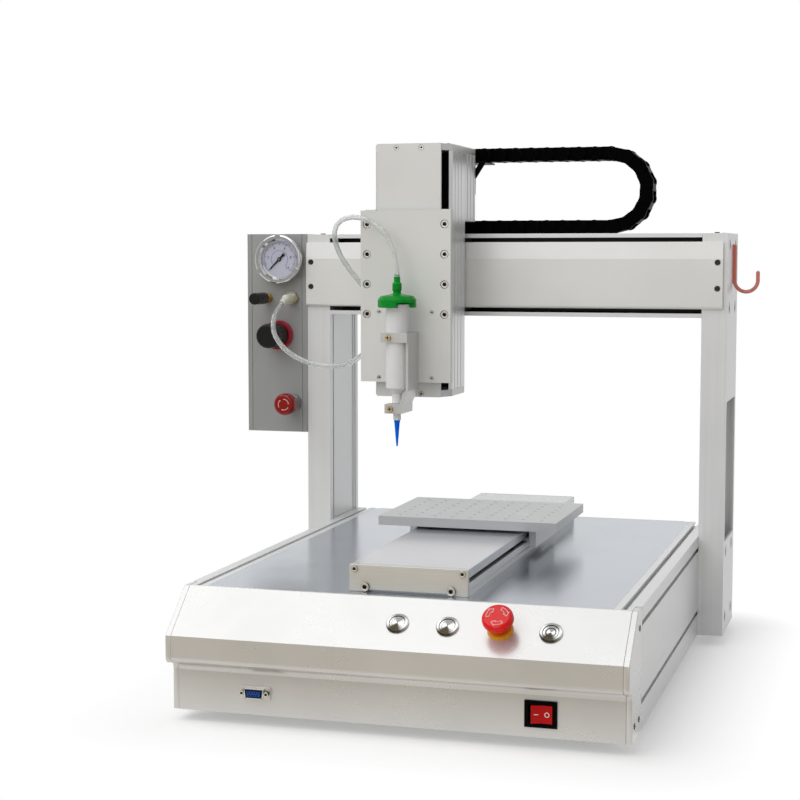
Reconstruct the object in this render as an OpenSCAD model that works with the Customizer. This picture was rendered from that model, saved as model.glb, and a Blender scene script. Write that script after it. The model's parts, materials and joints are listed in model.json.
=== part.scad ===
// Desktop dispensing robot: a slotted base, a gantry and three enclosed axes that carry a syringe over a table

/* [Base] */
// Width of the base over its end plates
base_w = 454; // [430:2:500]
// Depth of the base from the nose to the rear wall
base_d = 608; // [590:2:660]
// Height of the gap under the base
foot_h = 12; // [8:1:18]
// Height of the deck above the floor
deck_h = 130; // [124:1:140]
// Thickness of the base end plates
end_t = 6; // [4:0.5:8]
// Depth of the base end plates
end_d = 71; // [60:1:90]
// Set-back of the lower front face behind the nose
toe_back = 18.7; // [15:0.1:24]
// Height of the lower edge of the nose
nose_low = 68; // [64:1:74]
// Height of the upper edge of the nose
nose_high = 89; // [84:1:94]
// Depth of the sloped face
slope_d = 48; // [42:1:54]
// Wall of the front panel
panel_t = 3; // [2:0.5:3.5]
// Width of each side rail
rail_w = 24; // [20:1:30]
// Thickness of the deck sheet
deck_t = 3; // [2:0.5:4]
// Thickness of the tray sheet
tray_t = 2; // [1.5:0.5:3]
// Diameter of the rubber feet
foot_d = 32; // [24:1:40]
// Diameter of the screw recess under each foot
foot_hole = 11; // [8:0.5:12]

/* [Front controls] */
// X places of the three push buttons
button_x = [2, 51, 150];
// X place of the emergency stop
stop_x = 102; // [92:1:112]
// Diameter of the push button bezels
bezel_d = 22; // [20:0.5:26]
// Diameter of the push button caps
button_d = 15.6; // [12:0.2:16]
// Diameter of the emergency stop head
stop_d = 30; // [28:1:40]
// X place of the rocker switch
switch_x = 142; // [120:1:160]
// Width of the rocker switch frame
switch_w = 31; // [28:0.5:34]
// Height of the rocker switch frame
switch_h = 25.5; // [22:0.5:28]
// X place of the data socket
socket_x = -140; // [-160:1:-120]
// Height of the switch and the socket above the floor
control_z = 34.4; // [33:0.2:38]
// X place of the mains inlet
inlet_x = 140; // [-140:1:140]

/* [Gantry] */
// Width of each column
col_w = 29.4; // [26:0.2:36]
// Depth of each column
col_d = 110; // [108:1:124]
// Height of the gantry
gantry_h = 483; // [460:1:500]
// Thickness of the column cap plates
col_cap_t = 3; // [2:0.5:5]
// Web of each column
col_web = 7; // [6:0.5:9]
// Flange of each column
col_flange = 6; // [5:0.5:8]
// Height of the beam
beam_h = 98; // [94:1:104]
// Depth of the beam
beam_d = 106; // [104:1:108]
// Wall of the beam
beam_t = 5; // [4:0.5:5.5]
// Height of the beam's travel slots
slot_h = 5; // [4.5:0.5:6]
// Thickness of the beam's front cover
cover_t = 5; // [4:0.5:6]
// Diameter of the hook's rod
hook_rod = 4.5; // [3.5:0.5:6]
// Inner gap of the hook
hook_gap = 22.5; // [18:0.5:28]

/* [Drives] */
// Radius of the drive pulleys
pulley_r = 10; // [9:0.5:10.5]
// Thickness of the drive belts
belt_t = 1.5; // [1:0.1:1.8]
// Width of the drive belts
belt_w = 9; // [7:0.5:9.5]
// Width of a motor's square face
motor_w = 42; // [36:1:42]
// Length of a motor
motor_l = 40; // [30:1:42]
// Diameter of a motor shaft
shaft_d = 5; // [4:0.5:6]
// Width of a guide rail
guide_w = 9; // [7:0.5:12]
// Height of a guide rail
guide_h = 6.5; // [5:0.5:8]

/* [Y axis] */
// Width of the Y module
y_w = 120; // [110:2:130]
// Height of the Y module above the deck
y_h = 26.5; // [26:0.5:30]
// Distance of the Y module's front behind the nose
y_inset = 66; // [60:1:72]
// Height of the cover's side skirts
y_skirt = 9; // [7:0.5:10]
// Height of the Y module's side slots
y_slot = 4.5; // [4:0.5:5.5]
// Wall of the Y module
y_wall = 3; // [2:0.5:3.5]
// Thickness of the Y module's end caps
y_cap_t = 5; // [4:0.5:8]
// Width of the work table
table_w = 200; // [180:2:240]
// Depth of the work table
table_d = 157; // [140:1:170]
// Thickness of the work table
table_t = 10; // [8:0.5:14]
// Gap between the cover and the work table
table_gap = 3.5; // [2:0.5:6]
// Y place of the work table at rest
table_y = 65; // [-100:1:100]
// Pitch of the table's holes
hole_pitch = 20; // [15:1:24]
// Diameter of the table's holes
hole_d = 4.2; // [3:0.1:6]
// Thickness of the table legs
leg_t = 8; // [6:0.5:12]
// Length of the table legs
leg_l = 100; // [80:2:130]

/* [X and Z axis] */
// X place of the Z axis at rest
z_x = -100; // [-140:1:140]
// Length of the X carriage block
x_block_l = 82; // [70:1:82]
// Width of the Z body
z_w = 93.4; // [90:0.2:96]
// Depth of the Z body from its end plates' front
z_d = 76; // [74:0.5:80]
// Height of the Z axis above the gantry
z_rise = 103; // [97:1:117]
// Length of the Z axis
z_len = 293; // [280:1:300]
// Thickness of the Z end plates
z_end_t = 8; // [6:0.5:10]
// Width of the Z front cover
z_cover_w = 77; // [75:0.5:78]
// Thickness of the Z front cover
z_cover_t = 3; // [2:0.5:4]
// Diameter of the Z screw
screw_d = 10; // [8:0.5:12]
// Width of the Z plate
plate_w = 108; // [104:1:116]
// Height of the Z plate
plate_h = 198; // [190:1:210]
// Thickness of the Z plate
plate_t = 10; // [8:0.5:12]
// Height of the Z plate's lower edge above the Z axis's bottom at rest
plate_rise = 18; // [10:1:24]
// Depth of the motor cover
motor_box_d = 50; // [48:0.5:56]

/* [Syringe] */
// Distance of the syringe axis from the Z plate
syringe_out = 33; // [30:0.5:38]
// Diameter of the barrel
barrel_d = 25.5; // [23:0.1:26]
// Drop of the barrel's shoulder below the Z plate
shoulder_drop = 4; // [0:1:8]
// Length of the barrel above its shoulder
barrel_l = 95; // [90:1:104]
// Wall of the barrel
barrel_t = 1.4; // [1:0.1:2]
// Diameter of the receiver cap
cap_d = 44; // [38:0.5:48]
// Length of the dispensing tip
tip_l = 30; // [20:0.5:32]

/* [Control box] */
// Width of the control box
box_w = 78.5; // [76:0.5:90]
// Height of the control box
box_h = 245; // [236:1:260]
// Depth of the control box
box_d = 105; // [90:1:110]
// Sheet thickness of the control box
box_t = 2; // [1.5:0.5:3]
// Diameter of the pressure gauge
gauge_d = 60; // [54:1:64]
// Diameter of the regulator collar
reg_d = 36; // [34:1:40]
// Diameter of the regulator knob
reg_knob_d = 30; // [26:1:32]
// Length of the regulator knob
reg_knob_l = 44; // [36:1:56]
// Diameter of the valve knob
valve_d = 14.5; // [12:0.5:18]
// Diameter of the second stop button
box_stop_d = 27; // [24:1:32]

/* [Chain and hose] */
// Bend radius of the drag chain
chain_r = 44; // [42:1:46]
// Height of a chain link
link_h = 17; // [15:0.5:17]
// Width of the drag chain
chain_w = 30; // [26:1:32]
// X place of the chain's bend at rest
chain_x = 109; // [100:1:130]
// Distance of the chain's middle from the base's rear
chain_in = 33; // [30:1:36]
// Outer diameter of the air hose
hose_d = 6; // [4:0.5:6]

/* [Hidden] */
$fn = 48;

// Clearances
run_gap = 0.05;     // between a shaft and its bearing
slide_gap = 0.3;    // between pieces that slide
slot_gap = 0.7;     // between an arm and the slot that it leaves by
fit_gap = 0.2;      // between a fitting and its hole

// Base
front_y = -base_d / 2;
back_y = base_d / 2;
half_w = base_w / 2;
rail_x = half_w - rail_w;
panel_x = half_w - end_t;
nose_r = 7;
step_r = 9;
lip_d = 4;
toe_y = front_y + toe_back;
ledge_z = nose_low - nose_r;
deck_y = front_y + slope_d + lip_d;
end_y = front_y + end_d;
slope_a = atan2(deck_h - nose_high, slope_d);
slope_mid = [front_y + slope_d / 2, (nose_high + deck_h) / 2];
foot_in = [30, 80];
tee_mouth = 5;
tee_w = 9;
tee_d = 5;

front_path = concat(
    [[toe_y, foot_h]],
    arc([toe_y - step_r, ledge_z - step_r], step_r, 0, 90),
    arc([front_y + nose_r, ledge_z + nose_r], nose_r, 270, 180),
    [[front_y, nose_high], [front_y + slope_d, deck_h], [deck_y, deck_h]]);

// Gantry
col_y = back_y - col_d;
col_x = half_w + col_w;
col_z = foot_h + 1;
col_top = gantry_h - col_cap_t;
beam_top = gantry_h;
beam_z = beam_top - beam_h;
beam_mid = beam_top - beam_h / 2;
cover_h = beam_h - 2 * (beam_t + slot_h);
cover_x = col_x - 5;
chan_d = 50;
col_lip = 9;
col_lip_t = 3;
key_hole = 14;
web_y = col_y + chan_d;
hook_y = back_y - 54;
hook_top = gantry_h - 15;

// Drives
belt_r = pulley_r + slide_gap;
loop_r = belt_r + belt_t;
flange_r = loop_r + 0.4;
flange_t = 1.5;
hub_l = belt_w + 1;
pilot_r = 11;
pilot_h = 2;
x_drive = half_w - motor_w / 2 - 1;
x_belt_y = col_y + 23;
x_guide_z = 25;
x_guide_l = base_w - 20;

// Y axis
y_front = front_y + y_inset;
y_back = back_y - 8;
y_top = deck_h + y_h;
skirt_z = y_top - y_skirt;
wall_z = skirt_z - y_slot;
y_cover_t = 2.5;
y_belt_z = deck_h + y_wall + 12;
y_idler = y_front + y_cap_t + flange_r + 4;
y_drive = y_back - y_cap_t - motor_w / 2 - 24;
y_guide_x = y_w / 2 - 24;
y_block_w = y_w - 16;
y_block_l = 90;
table_z = y_top + table_gap;
leg_x = y_w / 2 + 4;
leg_z = wall_z - 5;

// X and Z axis
saddle_t = 3.5;
saddle_gap = 1.5;
z_back = col_y - cover_t - saddle_gap - saddle_t;
z_front = z_back - z_d;
z_top = gantry_h + z_rise;
z_bottom = z_top - z_len;
plate_z = z_bottom + plate_rise;
z_floor = 12;
z_floor_y = z_back - z_floor;
z_wall = 3.1;
z_cham = [9.7, 19];
z_lip_y = z_front + 13;
z_in = z_w / 2 - z_wall;
arm_t = 3.2;
arm_x = z_in - slot_gap;
arm_pad = 8;
pad_x = plate_w / 2 - 2;
plate_y = z_front - z_cover_t - 4 - plate_t;
z_block_z = plate_z + 0.4 * plate_h;
z_block_h = 120;
z_block_y = z_front + 20;
z_guide_x = 28;
screw_y = z_front + 38;
z_belt_z = z_top - z_end_t - hub_l / 2 - flange_t - 0.5;
shelf_t = 3;
shelf_z = z_belt_z - hub_l / 2 - flange_t - 4;
motor_y = z_back + motor_box_d / 2;
box_z = gantry_h + 15;
motor_box_t = 2;

// Syringe
shoulder_z = plate_z - shoulder_drop;
tip_x = z_x;
tip_y = plate_y - syringe_out;
barrel_top = shoulder_z + barrel_l;
neck_r = 5.5;
luer_r = 4.4;
neck_z = shoulder_z - 7;
clamp_z = shoulder_z + 52;
clamp_h = 11;
low_clamp_z = shoulder_z - 29;
low_clamp_h = 10.5;
luer_z = low_clamp_z - 8;
web_x = barrel_d / 2 + slide_gap;
web_t = 3;

// Control box
box_x1 = -col_x;
box_x0 = box_x1 - box_w;
box_y = col_y - 1;
box_top = gantry_h + 0.5;
gauge_at = [box_x0 + 46, box_top - 31];
valve_at = [box_x0 + 27, box_top - 79];
outlet_at = [box_x1 - 19, box_top - 79];
reg_at = [box_x0 + 42, box_top - 124.5];
box_stop_at = [box_x1 - 19, box_top - 208.5];
gauge_out = 17;
dial_in = 7;
dial_deep = 7.5;

// Drag chain
bend_links = 7;
lower_links = 11;
upper_links = 13;
pitch = 2 * chain_r * sin(90 / bend_links);
lobe_r = link_h / 2;
ply = 2.2;
ply_gap = 0.4;
chain_y = back_y - chain_in;
chain_low = beam_top + slide_gap + lobe_r;
chain_high = chain_low + 2 * chain_r;

// Air hose, from the outlet to the clip on the Z body and on to the receiver cap
elbow_l = 9;
elbow_out = 24;
spout = unit([-0.34, -0.68, -0.65]);
ball = [outlet_at[0], box_y - elbow_out, outlet_at[1]];
elbow = ball + (elbow_l + slide_gap) * spout;
cap_top = barrel_top + 31;
clip = [z_x - z_w / 2 - hose_d / 2 - slide_gap, z_front + 22, plate_z + 75];
bulge = [z_x - plate_w / 2 - 35, plate_y + 11.5, plate_z + 164];
bulge_way = unit([-0.06, -0.44, 1]);
barb = [tip_x, tip_y, cap_top + 2 * slide_gap];
up = [0, 0, 1];
hose_low = concat(bezier(elbow, elbow + 95 * spout, clip - 106 * up, clip - 6 * up, 20), [clip - up]);
hose_high = concat([clip + up], bezier(clip + 6 * up, clip + 32 * up, bulge - 40 * bulge_way, bulge, 11),
    tail(bezier(bulge, bulge + 48 * bulge_way, barb + 74 * up, barb + 5 * up, 11)), [barb]);

// Points of an arc about c, from angle a to angle b
function arc(c, r, a, b, n = 6) =
    [for (i = [0:n]) c + r * [cos(a + (b - a) * i / n), sin(a + (b - a) * i / n)]];

function reverse(p) = [for (i = [len(p) - 1:-1:0]) p[i]];

// Unit normal to the right of the line from a to b
function right_of(a, b) = let (d = b - a) [d[1], -d[0]] / norm(d);

// A path moved to its right by t, with mitred corners
function moved(p, t) = [for (i = [0:len(p) - 1])
    let (n1 = right_of(p[max(i - 1, 0)], p[max(i, 1)]),
        n2 = right_of(p[min(i, len(p) - 2)], p[min(i + 1, len(p) - 1)]),
        m = (n1 + n2) / norm(n1 + n2))
    p[i] + m * t / (m * n1)];

function strip(p, t) = concat(p, reverse(moved(p, t)));

// Points of a smooth route from a to d that leaves towards b and arrives from c
function bezier(a, b, c, d, n) = [for (i = [0:n]) let (t = i / n, u = 1 - t)
    u * u * u * a + 3 * u * u * t * b + 3 * u * t * t * c + t * t * t * d];

function tail(p) = [for (i = [1:len(p) - 1]) p[i]];

// Rings of a tube of radius r along a route, each square to its route
function unit(v) = v / norm(v);
function heading(p, i) = unit(p[min(i + 1, len(p) - 1)] - p[max(i - 1, 0)]);
function ring(p, i, r, n) = let (d = heading(p, i), u = unit(cross(d, [0, 1, 0.2])), v = cross(d, u))
    [for (k = [0:n - 1]) p[i] + r * (cos(360 * k / n) * u + sin(360 * k / n) * v)];

module tube(p, r, n = 10) {
    rings = len(p);
    points = [for (i = [0:rings - 1]) each ring(p, i, r, n)];
    walls = [for (i = [0:rings - 2], k = [0:n - 1])
        [i * n + k, i * n + (k + 1) % n, (i + 1) * n + (k + 1) % n, (i + 1) * n + k]];
    first = [for (k = [n - 1:-1:0]) k];
    last = [for (k = [0:n - 1]) (rings - 1) * n + k];
    polyhedron(points, concat([first], walls, [last]), convexity = 4);
}

// Box between two corners
module box(a, b) {
    translate(a) cube(b - a);
}

// Outline in Y and Z, drawn out along X
module along_x(x0, x1) {
    translate([x0, 0, 0]) rotate([90, 0, 90]) linear_extrude(x1 - x0) children();
}

// Outline in X and Z, drawn out along Y
module along_y(y0, y1) {
    translate([0, y1, 0]) rotate([90, 0, 0]) linear_extrude(y1 - y0) children();
}

// Outline in X and Y, drawn out along Z
module along_z(z0, z1) {
    translate([0, 0, z0]) linear_extrude(z1 - z0) children();
}

module both_sides() {
    children();
    mirror([1, 0, 0]) children();
}

// A piece that stands out of the sloped face, with its own Z along the face's normal
module on_slope(x) {
    translate([x, slope_mid[0], slope_mid[1]]) rotate([slope_a, 0, 0]) children();
}

// A piece that stands out of the control box's front, with its own Z towards the user
module on_box(at) {
    translate([at[0], box_y, at[1]]) rotate([90, 0, 0]) children();
}

// Slot with an undercut, its mouth at the origin and its depth along -Y
module tee_slot() {
    translate([-tee_mouth / 2, -tee_d]) square([tee_mouth, tee_d + 1]);
    translate([-tee_w / 2, -tee_d]) square([tee_w, tee_d / 2]);
}

module stadium(l, r) {
    circle(r);
    translate([l, 0]) circle(r);
    translate([0, -r]) square([l, 2 * r]);
}

// Closed belt about two pulleys a distance l apart along X, its middle at z = 0
module belt(l) {
    translate([0, 0, -belt_w / 2]) linear_extrude(belt_w) difference() {
        stadium(l, loop_r);
        stadium(l, belt_r);
    }
}

// Flanged pulley with its middle at z = 0
module pulley() {
    cylinder(r = pulley_r, h = hub_l, center = true);
    for (s = [-1, 1]) translate([0, 0, s * (hub_l + flange_t) / 2])
        cylinder(r = flange_r, h = flange_t, center = true);
}

// Pulley on a shaft that reaches down into its motor, whose face is a distance l below
module shaft_pulley(l) {
    pulley();
    translate([0, 0, -l - 8]) cylinder(d = shaft_d, h = l + 8);
}

// Motor below the plane z = 0, with its pilot and shaft bore above it
module motor() {
    cut = motor_w / 2 - 4;
    full = motor_w / 2;
    difference() {
        union() {
            translate([0, 0, -motor_l]) linear_extrude(motor_l) polygon([[full, -cut], [full, cut],
                [cut, full], [-cut, full], [-full, cut], [-full, -cut], [-cut, -full], [cut, -full]]);
            cylinder(r = pilot_r, h = pilot_h);
        }
        translate([0, 0, -10]) cylinder(d = shaft_d + 2 * run_gap, h = 10 + pilot_h + 1);
    }
}

module at_x_drive(x) {
    translate([x, web_y + beam_t, beam_mid]) rotate([90, 0, 0]) children();
}

// Base
module front_panel() {
    color("whitesmoke") difference() {
        along_x(-panel_x, panel_x) polygon(strip(front_path, panel_t));
        for (x = button_x) on_slope(x) cylinder(d = bezel_d - 3 + 2 * fit_gap, h = 30, center = true);
        on_slope(stop_x) cylinder(d = 22 + 2 * fit_gap, h = 30, center = true);
        translate([switch_x, toe_y, control_z])
            cube([switch_w - 4 + 2 * fit_gap, 30, switch_h - 4 + 2 * fit_gap], center = true);
        translate([socket_x, toe_y, control_z]) cube([20, 30, 11], center = true);
    }
}

module end_plates() {
    corner = 7;
    color("gainsboro") both_sides() along_x(panel_x, half_w) polygon(concat(
        front_path, arc([end_y - corner, deck_h - corner], corner, 90, 0), [[end_y, foot_h]]));
}

module rail_outline() {
    side = [half_w, (foot_h + deck_h) / 2];
    ledge = 6;
    difference() {
        union() {
            translate([rail_x, foot_h]) square([rail_w, deck_h - foot_h]);
            translate([rail_x - ledge, deck_h - deck_t - 4]) square([ledge + 1, 4]);
        }
        for (z = [deck_h - 16, foot_h + 27]) translate([half_w, z]) rotate(-90) tee_slot();
        translate([half_w - 14, deck_h]) tee_slot();
        translate([rail_x + 3, foot_h + 6]) square([rail_w - 3 - tee_d - 4, side[1] - foot_h - 10]);
        translate([rail_x + 3, side[1]]) square([rail_w - 3 - tee_d - 4, deck_h - side[1] - 14]);
    }
}

module side_rails() {
    color("silver") both_sides() difference() {
        along_y(deck_y, back_y) rail_outline();
        box([panel_x, front_y, 0], [half_w + 1, end_y, gantry_h]);
    }
}

module deck_plate() {
    color("lightslategray") difference() {
        box([-rail_x, deck_y, deck_h - deck_t], [rail_x, back_y - tray_t, deck_h]);
        translate([0, y_drive, deck_h]) cylinder(r = pilot_r + fit_gap, h = 20, center = true);
    }
}

module base_tray() {
    color("lightgray") difference() {
        union() {
            box([-rail_x, toe_y + panel_t, foot_h], [rail_x, back_y, foot_h + tray_t]);
            box([-panel_x, toe_y + panel_t, foot_h], [panel_x, deck_y, foot_h + tray_t]);
            box([-rail_x, back_y - tray_t, foot_h], [rail_x, back_y, deck_h - deck_t - 4]);
            box([-rail_x + 6, back_y - tray_t, foot_h], [rail_x - 6, back_y, deck_h]);
        }
        translate([inlet_x, back_y, control_z + 20]) cube([27 + 2 * fit_gap, 20, 20 + 2 * fit_gap], center = true);
        for (i = [0:11]) translate([-inlet_x + 9 * i, back_y, control_z + 30]) cube([4, 20, 50], center = true);
    }
}

module rubber_feet() {
    color("dimgray") for (x = [-1, 1], y = [-1, 1])
        translate([x * (rail_x - foot_in[0]), y * (back_y - foot_in[1]), 0]) difference() {
            rotate_extrude() polygon([[0, 0], [foot_d / 2 - 1.5, 0], [foot_d / 2, 1.5],
                [foot_d / 2 - 2, foot_h], [0, foot_h]]);
            translate([0, 0, -1]) cylinder(d = foot_hole, h = 5);
        }
}

// Power supply and control board, each on the tray floor
module control_electronics() {
    floor_z = foot_h + tray_t;
    supply = [0.216 * base_w, 0.263 * base_d, 0.31 * deck_h];
    board = [0.396 * base_w, 0.197 * base_d, 1.6];
    post_h = 8;
    color("darkgreen") {
        translate([0.13 * base_w, 0.06 * base_d, floor_z]) cube(supply);
        translate([0.02 * base_w - board[0], 0.03 * base_d, floor_z]) {
            for (x = [6, board[0] - 6], y = [6, board[1] - 6]) translate([x, y, 0]) cylinder(d = 7, h = post_h);
            translate([0, 0, post_h]) cube(board);
            for (i = [0:2]) translate([20 + 50 * i, 50, post_h]) cube([36, 30, 16]);
            translate([10, board[1] - 16, post_h]) cube([board[0] - 20, 12, 12]);
        }
    }
}

// Data socket on the front and mains inlet on the rear wall
module panel_sockets() {
    dee = [[-8.2, -4.2], [8.2, -4.2], [9.4, 4.2], [-9.4, 4.2]];
    color("steelblue") {
        translate([socket_x, toe_y, control_z]) {
            along_y(-2, 0) difference() {
                translate([-15.4, -6.2]) square([30.8, 12.4]);
                for (x = [-12.5, 12.5]) translate([x, 0]) circle(d = 3);
            }
            difference() {
                along_y(-7, 12) polygon(dee);
                along_y(-8, -4) polygon([for (c = dee) [c[0] - sign(c[0]) * 0.7, c[1] - sign(c[1]) * 0.6]]);
            }
            for (x = [-12.5, 12.5]) translate([x, 0, 0]) rotate([90, 0, 0]) cylinder(d = 2.9, h = 6);
        }
        translate([inlet_x, back_y, control_z + 20]) difference() {
            union() {
                along_y(0, 3) translate([-25, -12.5]) square([50, 25]);
                along_y(-22, 3) translate([-13.5, -10]) square([27, 20]);
            }
            along_y(-14, 4) translate([-12, -8.2]) square([24, 16.4]);
        }
    }
}

module switch_frame() {
    well_w = switch_w - 8;
    well_h = switch_h - 8;
    color("black") translate([switch_x, toe_y, control_z]) difference() {
        union() {
            along_y(-2, 0) translate([-switch_w / 2, -switch_h / 2]) square([switch_w, switch_h]);
            along_y(-2, 22) translate([2 - switch_w / 2, 2 - switch_h / 2]) square([switch_w - 4, switch_h - 4]);
        }
        along_y(-3, 16) translate([-well_w / 2, -well_h / 2]) square([well_w, well_h]);
    }
}

// Rocker on an upright pin, with one half pressed in
module switch_paddle() {
    half = switch_w / 2 - 5.5;
    tall = switch_h - 8 - 2 * slide_gap;
    tilt = 7;
    color("red") translate([switch_x, toe_y + 6, control_z]) {
        rotate([0, 0, tilt]) along_z(-tall / 2, tall / 2) polygon([[-half, -9.6], [0, -7.6], [half, -9.6],
            [half - 2, 0], [3, 4], [-3, 4], [-half + 2, 0]]);
        cylinder(d = 3, h = switch_h - 8 - 2 * run_gap, center = true);
    }
}

module button_bezels() {
    r = bezel_d / 2;
    in = button_d / 2 + fit_gap;
    color("silver") for (x = button_x) on_slope(x) rotate_extrude() polygon([[in, 2.5], [r - 1, 2.5], [r, 1.5],
        [r, 0], [r - 1.5, 0], [r - 1.5, -20], [0, -20], [0, -8], [in, -8]]);
}

module push_button(x) {
    r = button_d / 2;
    color("lightgray") on_slope(x) rotate_extrude() polygon(concat([[0, -5.5], [r, -5.5]],
        arc([r - 1, 1.2], 1, 0, 90), [[r - 2, 2.2], [r - 3, 1.8], [0, 1.6]]));
}

// Collars of the two stop buttons and of the regulator
module knob_collars() {
    color("gold") on_slope(stop_x) difference() {
        union() {
            cylinder(d1 = stop_d - 5, d2 = stop_d - 8, h = 3.5);
            translate([0, 0, -30]) cylinder(d = 22, h = 31);
        }
        translate([0, 0, -12]) cylinder(d = 16, h = 20);
    }
    color("crimson") on_box(reg_at) difference() {
        cylinder(d = reg_d, h = 9);
        translate([0, 0, -1]) cylinder(d = reg_knob_d - 8, h = 12);
    }
    color("silver") on_box(box_stop_at) difference() {
        union() {
            cylinder(d = box_stop_d - 5, h = 4);
            cylinder(d = box_stop_d - 9, h = 16);
            translate([0, 0, -24]) cylinder(d = box_stop_d - 9, h = 25);
        }
        translate([0, 0, 2]) cylinder(d = 12, h = 20);
    }
}

// Mushroom head on a stem of diameter stem, standing lift above its panel, narrower below by under
module mushroom(d, stem, low, lift, h, under) {
    r = d / 2;
    rotate_extrude() polygon(concat([[0, low], [stem / 2, low], [stem / 2, lift], [r - under[0], lift],
        [r, lift + under[1]]], arc([r - 4, lift + h - 4], 4, 0, 90), [[0, lift + h]]));
}

module stop_button() {
    color("red") on_slope(stop_x) mushroom(stop_d, 16 - 2 * slide_gap, -7, 8, 14, [4, 7.5]);
}

module box_stop_button() {
    color("red") on_box(box_stop_at) mushroom(box_stop_d, 12 - 2 * slide_gap, 7, 21, 14, [2, 3]);
}

// Gantry
module column_outline() {
    groove = [3, 4];
    difference() {
        translate([half_w, col_y]) square([col_w, col_d]);
        translate([half_w + col_web, col_y + col_flange]) square([col_w, col_d - 2 * col_flange]);
        for (y = [col_y + 10, back_y - 10 - groove[1]])
            translate([half_w - 1, y]) square([1 + groove[0], groove[1]]);
        translate([half_w - 1, col_y + 18]) square([2, col_d - 36]);
    }
    for (y = [col_y, back_y - col_lip]) translate([col_x - col_lip_t, y]) square([col_lip_t, col_lip]);
}

// Plate that closes a column's channel, with holes to reach the bolts behind it
module column_plate(low, high, bolts) {
    difference() {
        box([col_x - col_lip_t, col_y + col_lip - 1, low], [col_x, back_y - col_lip + 1, high]);
        for (y = [col_y + 24, back_y - 24], z = bolts) translate([col_x - col_lip_t - 1, y, z])
            rotate([0, 90, 0]) cylinder(d = key_hole, h = col_lip_t + 2);
    }
}

module columns() {
    color("gainsboro") both_sides() union() {
        along_z(col_z, col_top) column_outline();
        column_plate(col_z, deck_h - 7, [foot_h + 20, deck_h - 20]);
        column_plate(beam_z - beam_h, col_top, [beam_mid - 38, beam_mid + 36]);
    }
    color("gray") both_sides() box([half_w, col_y, col_top], [col_x, back_y, gantry_h]);
}

module x_beam() {
    rear = col_y + beam_d;
    color("silver") {
        difference() {
            along_x(-half_w, half_w) difference() {
                translate([col_y, beam_z]) square([beam_d, beam_h]);
                translate([col_y - 1, beam_z + beam_t]) square([chan_d + 1, beam_h - 2 * beam_t]);
                translate([web_y + beam_t, beam_z + beam_t])
                    square([beam_d - chan_d - 2 * beam_t, beam_h - 2 * beam_t]);
                for (y = [col_y + 14, rear - 14]) translate([y, beam_top]) square([3, 3], center = true);
            }
            at_x_drive(x_drive) cylinder(r = pilot_r + fit_gap, h = 20, center = true);
        }
        at_x_drive(-x_drive) translate([0, 0, beam_t - 1])
            cylinder(d = shaft_d, h = web_y - x_belt_y + hub_l / 2 + flange_t + 1);
    }
}

// One plate across beam and columns, bent back along its top
module x_cover() {
    bend = 20;
    lean = cover_t / 2;
    low = beam_mid - cover_h / 2;
    high = beam_mid + cover_h / 2;
    face = col_y - cover_t;
    color("whitesmoke") difference() {
        along_x(-col_x, cover_x) polygon(concat([[col_y, low]],
            reverse(arc([face + 3, low + 3], 3, 180, 270, 4)), [[face, high - bend]],
            [[face + lean, high], [col_y, high]]));
        for (x = [-col_x, cover_x], z = [-15, 15])
            translate([x - sign(x) * 6.2, face - 1, beam_mid + z]) rotate([-90, 0, 0]) cylinder(d = 7, h = 3);
    }
}

// Guide rails of the X and the Y axis
module guide_rails() {
    color("slategray") {
        for (s = [-1, 1]) translate([-x_guide_l / 2, web_y - guide_h, beam_mid + s * x_guide_z - guide_w / 2])
            cube([x_guide_l, guide_h, guide_w]);
        for (s = [-1, 1]) translate([s * y_guide_x - guide_w / 2, y_front + y_cap_t + 2, deck_h + y_wall])
            cube([guide_w, y_back - y_front - 2 * y_cap_t - 4, guide_h]);
    }
}

module drive_motors() {
    color("dimgray") {
        at_x_drive(x_drive) motor();
        translate([0, y_drive, deck_h - deck_t]) motor();
    }
}

module drive_belts() {
    color("black") {
        translate([-x_drive, x_belt_y, beam_mid]) rotate([90, 0, 0]) belt(2 * x_drive);
        translate([0, y_idler, y_belt_z]) rotate([0, 0, 90]) belt(y_drive - y_idler);
    }
}

module x_drive_pulley() {
    lift = web_y + beam_t - x_belt_y;
    color("silver") at_x_drive(x_drive) translate([0, 0, lift]) shaft_pulley(lift);
}

module idler() {
    difference() {
        pulley();
        cylinder(d = shaft_d + 2 * run_gap, h = 30, center = true);
    }
}

module x_idler_pulley() {
    color("silver") at_x_drive(-x_drive) translate([0, 0, web_y + beam_t - x_belt_y]) idler();
}

// Bar bent to an open J, on a strip that is fixed to the column's upper plate
module hook() {
    r = hook_gap / 2 + hook_rod / 2;
    strip = [hook_rod / 4, 2 * hook_rod];
    stem_x = col_x + hook_rod / 2;
    low = hook_top - 40;
    tip = low + 9;
    color("salmon") translate([0, hook_y, 0]) {
        box([col_x, -strip[1] / 2, low - 2], [col_x + strip[0], strip[1] / 2, hook_top + 2]);
        translate([stem_x, 0, hook_top]) sphere(d = hook_rod);
        translate([stem_x, 0, low]) cylinder(d = hook_rod, h = hook_top - low);
        translate([stem_x + r, 0, low]) rotate([90, 0, 0]) rotate([0, 0, 180])
            rotate_extrude(angle = 180) translate([r, 0]) circle(d = hook_rod);
        translate([stem_x + 2 * r, 0, low]) cylinder(d = hook_rod, h = tip - low);
        translate([stem_x + 2 * r, 0, tip]) sphere(d = hook_rod);
    }
}

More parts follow.
